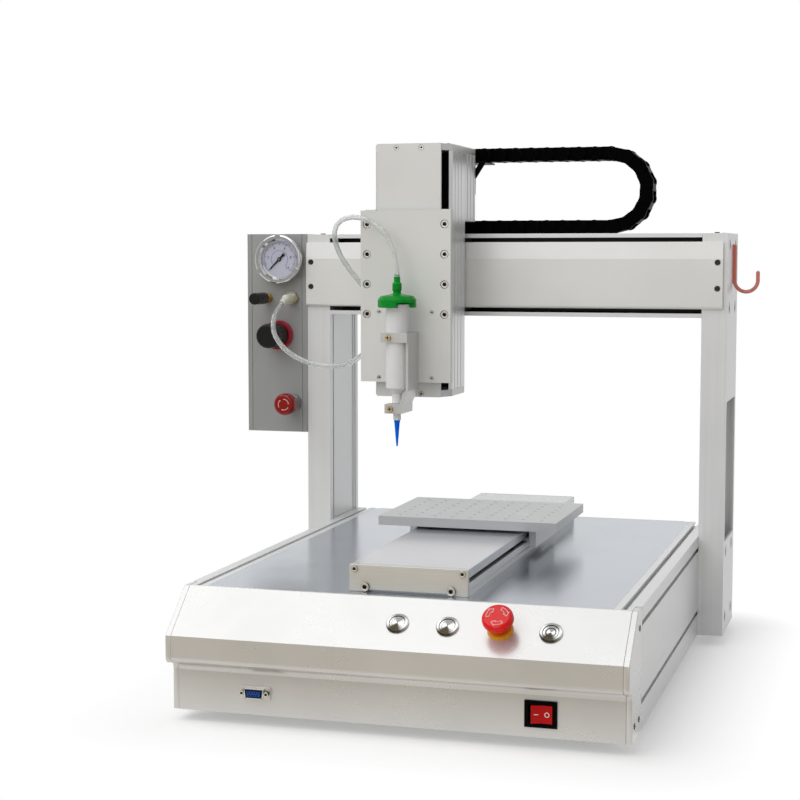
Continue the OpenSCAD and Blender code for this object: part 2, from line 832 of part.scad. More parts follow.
// Control box
module control_box() {
    back = box_y + box_d;
    color("darkgray") difference() {
        box([box_x0, box_y, box_top - box_h], [box_x1, back, box_top]);
        box([box_x0 + box_t, box_y + box_t, box_top - box_h + box_t], [box_x1 + 1, back - box_t, box_top - box_t]);
        for (x = [box_x0 + 5.5, box_x1 - 7])
            box([x, box_y - 1, box_top - box_h - 1], [x + 0.8, box_y + 0.8, box_top + 1]);
        on_box(gauge_at) cylinder(d = gauge_d - 6 + 2 * fit_gap, h = 20, center = true);
        on_box(valve_at) cylinder(d = 8 + 2 * fit_gap, h = 20, center = true);
        on_box(outlet_at) cylinder(d = 10 + 2 * fit_gap, h = 20, center = true);
        on_box(reg_at) cylinder(d = reg_knob_d - 8, h = 20, center = true);
        on_box(box_stop_at) cylinder(d = box_stop_d - 9 + 2 * fit_gap, h = 20, center = true);
    }
}

module gauge_case() {
    r = gauge_d / 2;
    well = r - dial_in;
    color("silver") on_box(gauge_at) {
        rotate_extrude() polygon(concat([[0, -20], [r - 3, -20], [r - 3, gauge_out - 9], [r, gauge_out - 9]],
            arc([r - 2, gauge_out - 2], 2, 0, 90), [[well + 2, gauge_out], [well, gauge_out - 2.5],
            [well, gauge_out - dial_deep], [0, gauge_out - dial_deep]]));
        translate([0, 0, gauge_out - dial_deep - 1]) cylinder(d = 2, h = 3.5);
    }
}

module gauge_lens() {
    color("lightcyan") on_box(gauge_at) translate([0, 0, gauge_out - 4.2])
        cylinder(d = gauge_d - 2 * dial_in - 2 * run_gap, h = 1.5);
}

// Needle at zero, towards the lower left of the dial
module gauge_pointer() {
    reach = gauge_d / 2 - dial_in - 5;
    out = gauge_out - dial_deep + 0.8;
    color("black") on_box(gauge_at) translate([0, 0, out]) rotate([0, 0, 225]) difference() {
        union() {
            linear_extrude(1) polygon([[-9, -2], [-4, -1], [0, -1.2], [reach, -0.3], [reach, 0.3], [0, 1.2],
                [-4, 1], [-9, 2]]);
            cylinder(d = 5, h = 1);
        }
        translate([0, 0, -1]) cylinder(d = 2 + 2 * run_gap, h = 3);
    }
}

// Fluted regulator knob, which turns in its collar
module regulator_knob() {
    r = reg_knob_d / 2;
    color("black") on_box(reg_at) difference() {
        rotate_extrude() polygon(concat([[0, -14], [r - 4 - slide_gap, -14], [r - 4 - slide_gap, 9 + slide_gap],
            [r, 9 + slide_gap]], arc([r - 3, reg_knob_l - 3], 3, 0, 90), [[0, reg_knob_l]]));
        for (i = [0:17]) rotate([0, 0, 20 * i]) translate([r + 0.6, 0, reg_knob_l / 2])
            cylinder(r = 1.4, h = reg_knob_l, $fn = 16);
    }
}

module valve_knob() {
    r = valve_d / 2;
    color("black") on_box(valve_at) difference() {
        rotate_extrude() polygon(concat([[0, 14], [r - 1, 14], [r, 15]], arc([r - 1.5, 46.5], 1.5, 0, 90),
            [[0, 48]]));
        translate([0, 0, 13]) cylinder(d = 6 + 2 * run_gap, h = 13);
    }
}

// Valve body and air outlet with its elbow
module air_fittings() {
    color("goldenrod") {
        on_box(valve_at) {
            translate([0, 0, -12]) cylinder(d = 8, h = 14);
            cylinder(d = 13, h = 5, $fn = 6);
            cylinder(d = 9, h = 13);
            cylinder(d = 6, h = 24);
        }
        on_box(outlet_at) {
            translate([0, 0, -12]) cylinder(d = 10, h = 14);
            cylinder(d = 17, h = 6, $fn = 6);
            cylinder(d = 10, h = elbow_out);
        }
        translate(ball) {
            sphere(d = 10);
            rotate([0, acos(spout[2]), atan2(spout[1], spout[0])]) cylinder(d = hose_d + 2, h = elbow_l);
        }
    }
}

// Y axis
module y_body() {
    color("silver") {
        difference() {
            along_y(y_front + y_cap_t, y_back - y_cap_t) difference() {
                translate([-y_w / 2, deck_h]) square([y_w, wall_z - deck_h]);
                translate([y_wall - y_w / 2, deck_h + y_wall]) square([y_w - 2 * y_wall, y_h]);
                for (s = [-1, 1]) translate([s * y_w / 2, deck_h + y_wall + 3]) square([2, 2], center = true);
            }
            translate([0, y_drive, deck_h]) cylinder(r = pilot_r + fit_gap, h = 20, center = true);
        }
        translate([0, y_idler, deck_h]) cylinder(d = shaft_d, h = y_top - y_cover_t - deck_h);
    }
}

module y_cover() {
    color("lightgray") along_y(y_front + y_cap_t, y_back - y_cap_t) difference() {
        translate([-y_w / 2, skirt_z]) square([y_w, y_skirt]);
        translate([y_cover_t - y_w / 2, skirt_z - 1]) square([y_w - 2 * y_cover_t, y_skirt - y_cover_t + 1]);
    }
}

module y_end_caps() {
    color("gainsboro") for (y = [y_front, y_back - y_cap_t]) along_y(y, y + y_cap_t) difference() {
        translate([-y_w / 2, deck_h]) square([y_w, y_h]);
        translate([-y_w / 2 + 18, deck_h - 1]) square([y_w - 36, 3]);
    }
}

module y_drive_pulley() {
    lift = y_belt_z - deck_h + deck_t;
    color("silver") translate([0, y_drive, y_belt_z]) shaft_pulley(lift);
}

module y_idler_pulley() {
    color("silver") translate([0, y_idler, y_belt_z]) idler();
}

// Block on the Y guide rails, whose arms leave by the side slots and carry the table legs
module y_carriage() {
    low = deck_h + y_wall + 1;
    high = y_top - y_cover_t - 1;
    tunnel = 2 * (loop_r + 1);
    color("silver") translate([0, table_y, 0]) {
        along_y(-y_block_l / 2, y_block_l / 2) difference() {
            translate([-y_block_w / 2, low]) square([y_block_w, high - low]);
            for (s = [-1, 1]) translate([s * y_guide_x - guide_w / 2 - slide_gap, low - 1])
                square([guide_w + 2 * slide_gap, guide_h + slide_gap]);
            translate([-tunnel / 2, y_belt_z - belt_w / 2 - 2.5]) square([tunnel, belt_w + 4]);
        }
        both_sides() along_y(-y_block_l / 2, y_block_l / 2)
            translate([y_block_w / 2 - 1, wall_z + slot_gap])
                square([leg_x - y_block_w / 2 + 2, y_slot - 2 * slot_gap]);
        both_sides() along_y(-leg_l / 2, leg_l / 2) translate([leg_x, leg_z]) square([leg_t, table_z - leg_z]);
    }
}

module table_plate() {
    cols = floor((table_w / 2 - 12) / hole_pitch);
    rows = floor((table_d / 2 - 12) / hole_pitch);
    color("silver") translate([0, table_y, table_z]) difference() {
        translate([-table_w / 2, -table_d / 2, 0]) cube([table_w, table_d, table_t]);
        for (i = [-cols:cols], j = [-rows:rows])
            translate([i * hole_pitch, j * hole_pitch, -1]) cylinder(d = hole_d, h = table_t + 2, $fn = 24);
    }
}

// X and Z axis
module x_carriage() {
    low = beam_z + beam_t + slot_gap;
    high = beam_top - beam_t - slot_gap;
    arm_h = slot_h - 2 * slot_gap;
    rear = web_y - 4;
    half = x_block_l / 2;
    tunnel = 2 * (loop_r + slide_gap);
    color("silver") translate([z_x, 0, 0]) {
        along_x(-half, half) difference() {
            translate([col_y + 2, low]) square([rear - col_y - 2, high - low]);
            for (s = [-1, 1])
                translate([web_y - guide_h - slide_gap, beam_mid + s * x_guide_z - guide_w / 2 - slide_gap])
                square([guide_h, guide_w + 2 * slide_gap]);
            translate([x_belt_y - belt_w / 2 - 2, beam_mid - tunnel / 2]) square([belt_w + 4, tunnel]);
        }
        for (z = [low, high - arm_h]) box([-half, z_back + saddle_t - 1, z], [half, col_y + 3, z + arm_h]);
        box([-z_w / 2 + 1, z_back, beam_z + 1], [z_w / 2 - 1, z_back + saddle_t, beam_top - 2]);
    }
}

// Fluted channel with its two guide rails on the floor
module z_body() {
    half = z_w / 2;
    flute = 2;
    base_z = z_bottom + z_end_t;
    head_z = z_top - z_end_t;
    cells = [[-40, 24], [-12, 24], [16, 24]];
    translate([z_x, 0, 0]) {
        color("gainsboro") difference() {
            along_z(base_z, head_z) difference() {
                union() {
                    translate([-half, z_floor_y]) square([z_w, z_floor]);
                    for (s = [-1, 1]) polygon([[s * z_in, z_lip_y], [s * (z_in + 0.6), z_lip_y],
                        [s * half, z_front + z_cham[1]], [s * half, z_back], [s * z_in, z_back]]);
                }
                for (s = [-1, 1], y = [z_front + 30, z_front + 44, z_front + 58])
                    translate([s * half, y]) square([flute, flute], center = true);
                for (c = cells) translate([c[0], z_floor_y + 3]) square([c[1], z_floor - 6]);
            }
            box([-loop_r - 2, z_floor_y - 1, shelf_z], [loop_r + 2, z_back + 1, head_z + 1]);
        }
        color("gainsboro") translate(clip - [z_x, 0, 0]) difference() {
            translate([-6, -6, -4]) cube([6 + hose_d / 2 + slide_gap, 12, 8]);
            cylinder(d = hose_d + 2 * slide_gap, h = 10, center = true);
        }
        color("slategray") for (s = [-1, 1])
            box([s * z_guide_x - guide_w / 2, z_floor_y - guide_h, base_z],
                [s * z_guide_x + guide_w / 2, z_floor_y + 1, shelf_z - 4]);
    }
}

module z_cover() {
    color("whitesmoke") translate([z_x, 0, 0]) difference() {
        box([-z_cover_w / 2, z_front - z_cover_t, z_bottom], [z_cover_w / 2, z_front, z_top]);
        for (s = [-1, 1], z = [z_bottom + 3.6, z_top - 4.8])
            translate([s * 15, z_front - z_cover_t - 1, z]) rotate([-90, 0, 0])
                cylinder(d = 6.4, h = 1 + z_cover_t / 2);
    }
}

module z_end_outline(back) {
    half = z_w / 2;
    polygon([[-half + z_cham[0], z_front], [half - z_cham[0], z_front], [half, z_front + z_cham[1]], [half, back],
        [-half, back], [-half, z_front + z_cham[1]]]);
}

// Bottom and top plate, each with a bearing for the screw
module z_end_plates() {
    journal = screw_d - 2 + 2 * run_gap;
    depth = z_end_t - 3;
    color("gainsboro") translate([z_x, 0, 0]) difference() {
        union() {
            along_z(z_bottom, z_bottom + z_end_t) z_end_outline(z_back);
            along_z(z_top - z_end_t, z_top) z_end_outline(z_back + motor_box_d);
        }
        translate([0, screw_y, z_bottom + z_end_t - depth]) cylinder(d = journal, h = depth + 1);
        translate([0, screw_y, z_top - z_end_t - 1]) cylinder(d = journal, h = depth + 1);
    }
}

module z_motor() {
    color("dimgray") translate([z_x, motor_y, shelf_z]) motor();
}

// Fluted cover with the shelf that the motor hangs from
module motor_cover() {
    half = z_w / 2;
    back = z_back + motor_box_d;
    head = z_top - z_end_t;
    t = motor_box_t;
    color("gainsboro") translate([z_x, 0, 0]) difference() {
        box([-half, z_back, box_z], [half, back, head]);
        box([-half + t, z_back - 1, box_z + t], [half - t, back - t, shelf_z]);
        box([-half + t, z_back - 1, shelf_z + shelf_t], [half - t, back - t, head + 1]);
        translate([0, motor_y, shelf_z - 1]) cylinder(r = pilot_r + fit_gap, h = shelf_t + 2);
        for (s = [-1, 1], i = [0:3]) translate([s * half, z_back + 12 + 15 * i, (box_z + head) / 2])
            cube([1.6, 3, head - box_z + 2], center = true);
    }
}

module z_belt() {
    color("black") translate([z_x, screw_y, z_belt_z]) rotate([0, 0, 90]) belt(motor_y - screw_y);
}

module z_screw() {
    low = z_bottom + z_end_t;
    head = z_top - z_end_t;
    journal = screw_d - 2;
    stub = z_end_t - 4;
    color("silver") translate([z_x, screw_y, 0]) {
        translate([0, 0, low - stub]) cylinder(d = journal, h = head - low + 2 * stub);
        translate([0, 0, low + 1]) cylinder(d = screw_d, h = shelf_z - low - 1);
        translate([0, 0, z_belt_z]) pulley();
    }
}

module z_motor_pulley() {
    color("silver") translate([z_x, motor_y, z_belt_z]) shaft_pulley(z_belt_z - shelf_z);
}

// Block on the Z guide rails, whose arms leave beside the cover and carry the Z plate
module z_carriage() {
    high = z_block_z + z_block_h;
    rear = z_floor_y - 4;
    rear_plate = plate_y + plate_t;
    color("silver") translate([z_x, 0, 0]) difference() {
        along_z(z_block_z, high) {
            difference() {
                translate([-arm_x, z_block_y]) square([2 * arm_x, rear - z_block_y]);
                for (s = [-1, 1])
                    translate([s * z_guide_x - guide_w / 2 - slide_gap, z_floor_y - guide_h - slide_gap])
                    square([guide_w + 2 * slide_gap, guide_h]);
            }
            for (s = [-1, 1]) {
                translate([s * (arm_x - arm_t / 2) - arm_t / 2, rear_plate])
                    square([arm_t, z_block_y - rear_plate + 1]);
                translate([s > 0 ? arm_x - arm_t : -pad_x, rear_plate]) square([pad_x - arm_x + arm_t, arm_pad]);
            }
        }
        translate([0, screw_y, z_block_z - 1]) cylinder(d = screw_d + 2 * run_gap, h = z_block_h + 2);
    }
}

module z_plate() {
    color("whitesmoke") translate([z_x, 0, 0]) difference() {
        box([-plate_w / 2, plate_y, plate_z], [plate_w / 2, plate_y + plate_t, plate_z + plate_h]);
        for (s = [-1, 1]) {
            for (i = [0:3]) translate([s * (plate_w / 2 - 7.5), plate_y - 1, plate_z + plate_h - 16 - 34.5 * i])
                rotate([-90, 0, 0]) cylinder(d = 9.6, h = 1 + plate_t / 2);
            for (z = [5, 81]) translate([s * 31.6, plate_y - 1, plate_z + z])
                rotate([-90, 0, 0]) cylinder(d = 5, h = 1 + plate_t / 4, $fn = 32);
        }
    }
}

// Two clamps on one bent side plate that is bolted to the Z plate
module syringe_bracket() {
    high = clamp_z + clamp_h;
    front = -15;
    deep = syringe_out;
    out = web_x + web_t;
    low_in = neck_r + slide_gap;
    low_out = low_in + web_t;
    low_top = low_clamp_z + low_clamp_h;
    color("silver") translate([tip_x, tip_y, 0]) difference() {
        union() {
            box([1 - out, front, clamp_z], [out, deep, high]);
            along_y(front + 5, deep) polygon([[low_in, low_clamp_z], [low_out, low_clamp_z],
                [low_out, low_top], [out, shoulder_z - 3], [out, high], [web_x, high],
                [web_x, shoulder_z - 1], [low_in, low_top + 1.5]]);
            box([-12, -10, low_clamp_z], [low_out, 8, low_top]);
        }
        translate([0, 0, clamp_z - 1]) cylinder(d = barrel_d + 2 * fit_gap, h = clamp_h + 2);
        translate([0, 0, low_clamp_z - 1]) cylinder(r = luer_r + fit_gap, h = low_clamp_h + 2);
    }
}

// Translucent barrel with a flanged mouth, a shoulder and a locking nozzle
module syringe_barrel() {
    r = barrel_d / 2;
    in = r - barrel_t;
    bore = 1.5;
    skirt = luer_r - 1.4;
    color("aliceblue") translate([tip_x, tip_y, 0]) rotate_extrude() polygon([[r + 3, barrel_top],
        [r + 3, barrel_top - 3], [r, barrel_top - 3], [r, shoulder_z], [neck_r, neck_z],
        [neck_r, low_clamp_z + low_clamp_h + 1], [luer_r, low_clamp_z + low_clamp_h + 1], [luer_r, luer_z],
        [skirt, luer_z], [skirt, luer_z + 9], [bore, luer_z + 9], [bore, neck_z + 2], [in, shoulder_z + 2],
        [in, barrel_top]]);
}

// Receiver cap that locks over the barrel's flange, with a barb for the hose
module receiver_cap() {
    r = cap_d / 2;
    plug = barrel_d / 2 - barrel_t - slide_gap;
    grip = barrel_d / 2 + 3 + slide_gap;
    top = barrel_top + slide_gap;
    color("green") translate([tip_x, tip_y, top]) difference() {
        rotate_extrude() polygon([[0, -8], [plug, -8], [plug, 0], [grip, 0], [grip, -4], [r - 1, -4], [r, -3],
            [r, 4.5], [r - 1, 6.2], [r - 3.5, 9], [7, 11.2], [4.6, 12.2], [4.4, 14.5], [5.4, 15.5], [5.4, 23],
            [3.6, 25], [3.6, 31], [0, 31]]);
        for (s = [-1, 1]) translate([s * r, -s * 0.62 * r, -1.5]) cube([1.5 * r, 0.9 * r, 6], center = true);
    }
}

module dispensing_tip() {
    color("dodgerblue") translate([tip_x, tip_y, luer_z]) rotate_extrude() polygon([[0.5, -tip_l], [0.9, -tip_l],
        [3.1, -3], [3.4, -2.5], [3.4, -0.3], [luer_r - 1.4 - fit_gap, -0.3], [luer_r - 1.4 - fit_gap, 6], [1.2, 6],
        [1.2, -4]]);
}

// Drag chain link from the pivot at the origin to the next one along X
module link() {
    outer = chain_w / 2;
    inner = outer - ply - ply_gap;
    clear = lobe_r + ply_gap;
    web_h = link_h - 1;
    bar = [9, 2];
    difference() {
        union() {
            for (s = [-1, 1]) {
                translate([0, s * (outer - ply / 2), 0]) rotate([90, 0, 0])
                    cylinder(r = lobe_r, h = ply, center = true);
                translate([(pitch - clear) / 2, s * (outer - ply / 2), 0])
                    cube([pitch - clear, ply, web_h], center = true);
                translate([pitch, s * (inner - ply / 2), 0]) rotate([90, 0, 0])
                    cylinder(r = lobe_r, h = ply, center = true);
                translate([(pitch + clear) / 2, s * (inner - ply / 2), 0])
                    cube([pitch - clear, ply, web_h], center = true);
                translate([pitch / 2, s * (outer - ply), 0])
                    cube([pitch - 2 * clear, 2 * ply, web_h], center = true);
                translate([pitch, s * (outer - ply / 2), 0]) rotate([90, 0, 0])
                    cylinder(d = 5, h = 2 * ply, center = true, $fn = 24);
            }
            for (s = [-1, 1]) translate([pitch / 2 + 3, 0, s * (web_h - bar[1]) / 2])
                cube([bar[0], 2 * inner - ply, bar[1]], center = true);
        }
        rotate([90, 0, 0]) cylinder(d = 5 + 2 * fit_gap, h = chain_w + 2, center = true, $fn = 24);
        for (s = [-1, 1]) translate([pitch, s * (outer + ply), 0]) cube([8, 2 * ply, 8], center = true);
    }
}

// Pivot and heading of the link after n links of bend
function bend_at(n) = let (a = -90 + 180 * n / bend_links)
    [chain_x + chain_r * cos(a), chain_y, chain_low + chain_r + chain_r * sin(a)];

module chain_lower_run() {
    color("black") for (i = [1:lower_links]) translate([chain_x - i * pitch, chain_y, chain_low]) link();
}

module chain_bend() {
    color("black") for (n = [0:bend_links - 1])
        translate(bend_at(n)) rotate([0, -180 * (n + 0.5) / bend_links, 0]) link();
}

// Upper run and the braced bracket that holds it behind the motor cover
module chain_upper_run() {
    x0 = z_x - z_w / 2;
    x1 = z_x + z_w / 2;
    back = z_back + motor_box_d;
    shelf = chain_high - lobe_r - slide_gap;
    t = 2;
    color("black") {
        for (i = [0:upper_links - 1])
            translate([chain_x - i * pitch, chain_y, chain_high]) rotate([0, 180, 0]) link();
        box([x0, back, shelf - t], [x1 + 12, chain_y + chain_w / 2, shelf]);
        box([x0, back, shelf - 40], [x1, back + t, shelf]);
        along_y(back, back + 4) polygon([[x1 - 12, shelf - 30], [x1 - 6, shelf - 30], [x1 + 12, shelf - t],
            [x1 + 4, shelf - t]]);
    }
}

module hose_to_carriage() {
    color("azure") tube(hose_low, hose_d / 2);
}

module hose_to_syringe() {
    color("azure") tube(hose_high, hose_d / 2);
}

front_panel();
end_plates();
side_rails();
deck_plate();
base_tray();
rubber_feet();
control_electronics();
panel_sockets();
switch_frame();
button_bezels();
knob_collars();
columns();
x_beam();
x_cover();
guide_rails();
drive_motors();
drive_belts();
hook();
control_box();
gauge_case();
gauge_lens();
air_fittings();
y_body();
y_cover();
y_end_caps();
chain_lower_run();
hose_to_carriage();
switch_paddle();
push_button(button_x[0]);  // start_button
push_button(button_x[1]);  // pause_button
push_button(button_x[2]);  // home_button
stop_button();
gauge_pointer();
regulator_knob();
valve_knob();
box_stop_button();
x_drive_pulley();
x_idler_pulley();
y_drive_pulley();
y_idler_pulley();
y_carriage();
table_plate();
x_carriage();
z_body();
z_cover();
z_end_plates();
z_motor();
motor_cover();
z_belt();
chain_upper_run();
z_screw();
z_motor_pulley();
chain_bend();
z_carriage();
z_plate();
syringe_bracket();
syringe_barrel();
receiver_cap();
dispensing_tip();
hose_to_syringe();
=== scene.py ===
"""Looks of a desktop dispensing robot: finishes, rounded edges, fasteners, chain, hoses, dial and stage."""
import json
import math

import bmesh
import bpy
from bpy.props import FloatProperty, FloatVectorProperty, IntProperty, PointerProperty
from mathutils import Matrix, Vector
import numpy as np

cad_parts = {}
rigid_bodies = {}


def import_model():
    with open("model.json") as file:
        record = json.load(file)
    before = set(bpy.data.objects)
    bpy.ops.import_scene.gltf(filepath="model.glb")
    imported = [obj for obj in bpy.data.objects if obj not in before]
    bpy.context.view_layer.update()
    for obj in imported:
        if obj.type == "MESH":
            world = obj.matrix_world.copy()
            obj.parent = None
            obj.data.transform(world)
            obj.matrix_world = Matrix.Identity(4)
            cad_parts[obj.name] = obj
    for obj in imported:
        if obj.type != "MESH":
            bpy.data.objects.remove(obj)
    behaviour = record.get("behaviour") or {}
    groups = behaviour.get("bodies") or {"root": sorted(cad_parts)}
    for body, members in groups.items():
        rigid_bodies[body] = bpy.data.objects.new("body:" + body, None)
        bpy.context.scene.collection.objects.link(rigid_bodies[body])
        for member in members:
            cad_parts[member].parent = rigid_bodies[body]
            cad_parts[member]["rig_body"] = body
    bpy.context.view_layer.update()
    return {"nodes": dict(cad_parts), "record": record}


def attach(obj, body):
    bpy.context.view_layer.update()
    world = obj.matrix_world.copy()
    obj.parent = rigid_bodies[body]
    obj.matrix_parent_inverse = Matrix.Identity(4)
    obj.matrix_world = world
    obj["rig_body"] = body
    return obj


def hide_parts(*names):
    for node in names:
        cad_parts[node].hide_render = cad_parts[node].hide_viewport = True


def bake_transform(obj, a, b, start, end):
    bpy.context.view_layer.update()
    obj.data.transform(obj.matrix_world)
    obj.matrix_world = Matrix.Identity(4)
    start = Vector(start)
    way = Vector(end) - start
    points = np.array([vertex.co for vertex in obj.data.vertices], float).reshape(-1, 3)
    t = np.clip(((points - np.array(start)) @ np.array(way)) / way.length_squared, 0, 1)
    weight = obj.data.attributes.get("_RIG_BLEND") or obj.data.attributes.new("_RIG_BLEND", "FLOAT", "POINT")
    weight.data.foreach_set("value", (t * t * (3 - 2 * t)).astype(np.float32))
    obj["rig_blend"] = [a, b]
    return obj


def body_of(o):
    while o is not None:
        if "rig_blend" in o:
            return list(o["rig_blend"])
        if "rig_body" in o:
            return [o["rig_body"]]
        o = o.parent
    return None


bl_info = {
    "name": "Dispensing robot looks",
    "version": (1, 0, 0),
    "blender": (4, 5, 0),
    "location": "3D View > Sidebar > Robot",
    "description": "Finishes, fasteners, chain, hoses and dial of a desktop dispensing robot",
    "category": "Object",
}

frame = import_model()
NODES = frame["nodes"]
SLOTS = {part["node"]: part["material_slot"] for part in frame["record"]["subparts"]}

TAU = 2 * math.pi
FRONT, REAR, TOP = (0, -1, 0), (0, 1, 0), (0, 0, 1)
BOTH = (-1, 1)

# Places in the frame, in millimetres as on the drawing
Z_X = -100                                  # middle of the Z axis
SLOPE = (-280, 109.5, math.atan2(41, 48))   # y, z and tilt of the sloped face
TOE_Y = -285.3                              # front of the panel, under its nose
BUTTONS = (2, 51, 150)                      # x of the buttons on the slope
STOP_X = 102                                # x of the stop beside them
SWITCH = (142, TOE_Y + 6, 34.4)             # pivot of the rocker
SOCKET = (-140, TOE_Y, 34.4)                # middle of the data socket
NUT_X = 12.5                                # its nuts, to each side
BOX_Y = 193                                 # front of the control box
GAUGE = (-288.9, 452.5)                     # x and z on that front
BOX_STOP = (-275.4, 275)
# Boxes in millimetres inside the beam and the Z profile, painted near black as shade
BEAM_SHADE_BOX = ((-300, 194.5, 389.9), (300, 285, 478.1))
Z_SHADE_BOX = ((Z_X - 43.75, 108.5, 290), (Z_X + 43.75, 184.5, 579))

# Drag chain: radius and middle of its bend, heights of its runs, pitch and numbers of links
CHAIN_R, CHAIN_X, CHAIN_Y, CHAIN_LOW = 44, 109, 271, 491.8
CHAIN_HIGH = CHAIN_LOW + 2 * CHAIN_R
PITCH = 2 * CHAIN_R * math.sin(math.pi / 14)
LOWER_LINKS, UPPER_LINKS = 11, 13
LINK_REACH = 9                              # a link stays within this of its pivots' height

# Air hose: its ends, the clip and loop between them, and the directions it leaves in
UP = Vector((0, 0, 1))
SPOUT = Vector((-0.34, -0.68, -0.65)).normalized()
ELBOW = Vector((-275.4, 169, 404.5)) + 9.3 * SPOUT
CLIP = Vector((-150, 130, 386))
BULGE = Vector((-189, 102.5, 475))
BULGE_WAY = Vector((-0.06, -0.44, 1)).normalized()
BARB = Vector((-100, 58, 433.6))
HOSE_BORE = 0.66                            # inner to outer diameter

# Pressure dial: angle of its first mark, sweep to its last, and thickness of its sheet in metres
DIAL_START, DIAL_SWEEP = math.radians(225), math.radians(-270)
DIAL_SHEET = 0.00025
PRINT = 0.00012                             # thickness of the print on the stop heads
ROCKER_PRINT = 0.00015

# Borders between two finishes on one node, in metres
COLLAR_BORDER = (0.320, 0.321)
OUTLET_BORDER = (-0.2925, -0.2915)
ELBOW_BORDER = (0.1868, 0.1862)

# Stage, in metres: camera, footprint of the base, and each lamp's place, target, diameter and watts
CAMERA_AT, CAMERA_TURN = (0.4688, -1.8363, 0.4574), (math.pi / 2 - 0.083, 0, 0.29)
CAMERA_LENS, CAMERA_SENSOR = 78.29, 36
FOOT_HALF_WIDTH, FOOT_MIDDLE, FOOT_HALF_DEPTH = 0.227, 0.01, 0.295
LAMPS = (
    ("key", (-0.9, -1.3, 2.4), (0.0, -0.05, 0.2), 3.2, 39),
    ("fill", (-0.4, -3.3, 1.4), (0.0, 0.0, 0.3), 2.4, 14),
    ("side", (2.3, -0.9, 1.6), (0.0, 0.0, 0.3), 1.6, 2),
)


def mm(*values):
    """A point given in millimetres, in metres."""
    return Vector(values) * 0.001


# ---------------------------------------------------------------- node trees

class Value:
    """One output socket; arithmetic on it adds Math nodes to its tree."""

    def __init__(self, graph, socket):
        self.graph = graph
        self.socket = socket

    def maths(self, operation, *terms):
        return self.graph.node("ShaderNodeMath", {"operation": operation}, dict(enumerate(terms)))

    def __add__(self, other):
        return self.maths("ADD", self, other)

    def __radd__(self, other):
        return self.maths("ADD", other, self)

    def __sub__(self, other):
        return self.maths("SUBTRACT", self, other)

    def __rsub__(self, other):
        return self.maths("SUBTRACT", other, self)

    def __mul__(self, other):
        return self.maths("MULTIPLY", self, other)

    def __rmul__(self, other):
        return self.maths("MULTIPLY", other, self)

    def __truediv__(self, other):
        return self.maths("DIVIDE", self, other)

    def __lt__(self, other):
        return self.maths("LESS_THAN", self, other)

    def __gt__(self, other):
        return self.maths("GREATER_THAN", self, other)

    def cos(self):
        return self.maths("COSINE", self)

    def sin(self):
        return self.maths("SINE", self)

    def most(self, other):
        return self.maths("MAXIMUM", self, other)

    def least(self, other):
        return self.maths("MINIMUM", self, other)

    def root(self):
        return self.maths("SQRT", self)

    def size(self):
        return self.maths("ABSOLUTE", self)

    def angle(self, across):
        return self.maths("ARCTAN2", self, across)

    def beside(self, key):
        """Another output of the same node."""
        return Value(self.graph, self.socket.node.outputs[key])


class Graph:
    """A node tree written as calls: each call adds one node and gives one of its outputs."""

    def __init__(self, tree):
        self.tree = tree

    def node(self, kind, settings=None, sockets=None, out=0):
        made = self.tree.nodes.new(kind)
        for key, value in (settings or {}).items():
            setattr(made, key, value)
        for key, value in (sockets or {}).items():
            if isinstance(value, Value):
                self.tree.links.new(value.socket, made.inputs[key])
            else:
                made.inputs[key].default_value = value
        return Value(self, made.outputs[out])

    def tint(self, factor, low, high):
        """A colour between two."""
        low = low if isinstance(low, Value) else (*low, 1)
        high = high if isinstance(high, Value) else (*high, 1)
        return self.node("ShaderNodeMix", {"data_type": "RGBA"}, {0: factor, 6: low, 7: high}, out=2)

    def step(self, value, low, high):
        """0 up to low, 1 from high on and a straight rise between."""
        return self.node("ShaderNodeMapRange", None, {0: value, 1: low, 2: high, 3: 0.0, 4: 1.0})

    def rays(self):
        """Masks of the rays of mirrors, and of all rays that show a surface to the camera."""
        path = self.node("ShaderNodeLightPath")
        glossy = path.beside("Is Glossy Ray")
        return glossy, path.beside("Is Camera Ray").most(glossy).most(path.beside("Is Transmission Ray"))


class Finish(Graph):
    """A procedural material under construction."""

    def __init__(self, name):
        self.material = bpy.data.materials.new(name)
        self.material.use_nodes = True
        super().__init__(self.material.node_tree)
        self.shader = self.tree.nodes["Principled BSDF"]

    def place(self):
        return self.node("ShaderNodeTexCoord", out="Object")

    def axes(self):
        """X, Y and Z in the frame, in metres."""
        parts = self.node("ShaderNodeSeparateXYZ", None, {0: self.place()})
        return [parts.beside(i) for i in range(3)]

    def noise(self, scale, detail=3.0, rough=0.55, grain=(1, 1, 1)):
        """Noise that is drawn out along an axis whose grain is small."""
        spot = self.node("ShaderNodeMapping", None, {"Vector": self.place(), "Scale": grain})
        return self.node("ShaderNodeTexNoise", None,
            {"Vector": spot, "Scale": scale, "Detail": detail, "Roughness": rough})

    def within(self, low, high):
        """1 inside a box given in millimetres, else 0."""
        inside = 1.0
        for axis, start, end in zip(self.axes(), low, high):
            inside = (axis > start / 1000) * (axis < end / 1000) * inside
        return inside

    def set(self, **sockets):
        """Values or links of the shader's sockets; an underscore stands for a space."""
        for key, value in sockets.items():
            socket = self.shader.inputs[key.replace("_", " ")]
            if isinstance(value, Value):
                self.tree.links.new(value.socket, socket)
            else:
                socket.default_value = value
        return self

    def bump(self, height, strength, distance=0.0004):
        return self.set(Normal=self.node("ShaderNodeBump", None,
            {"Height": height, "Strength": strength, "Distance": distance}, out="Normal"))


def shade(color, factor):
    """A colour made darker or lighter."""
    return tuple(min(1.0, c * factor) for c in color)


def looks():
    return bpy.context.scene.robot_looks


def hue(piece, factor=1.0):
    """A piece's colour in the settings, made darker or lighter."""
    return shade(getattr(looks(), piece + "_color"), factor)


# ---------------------------------------------------------------- finishes

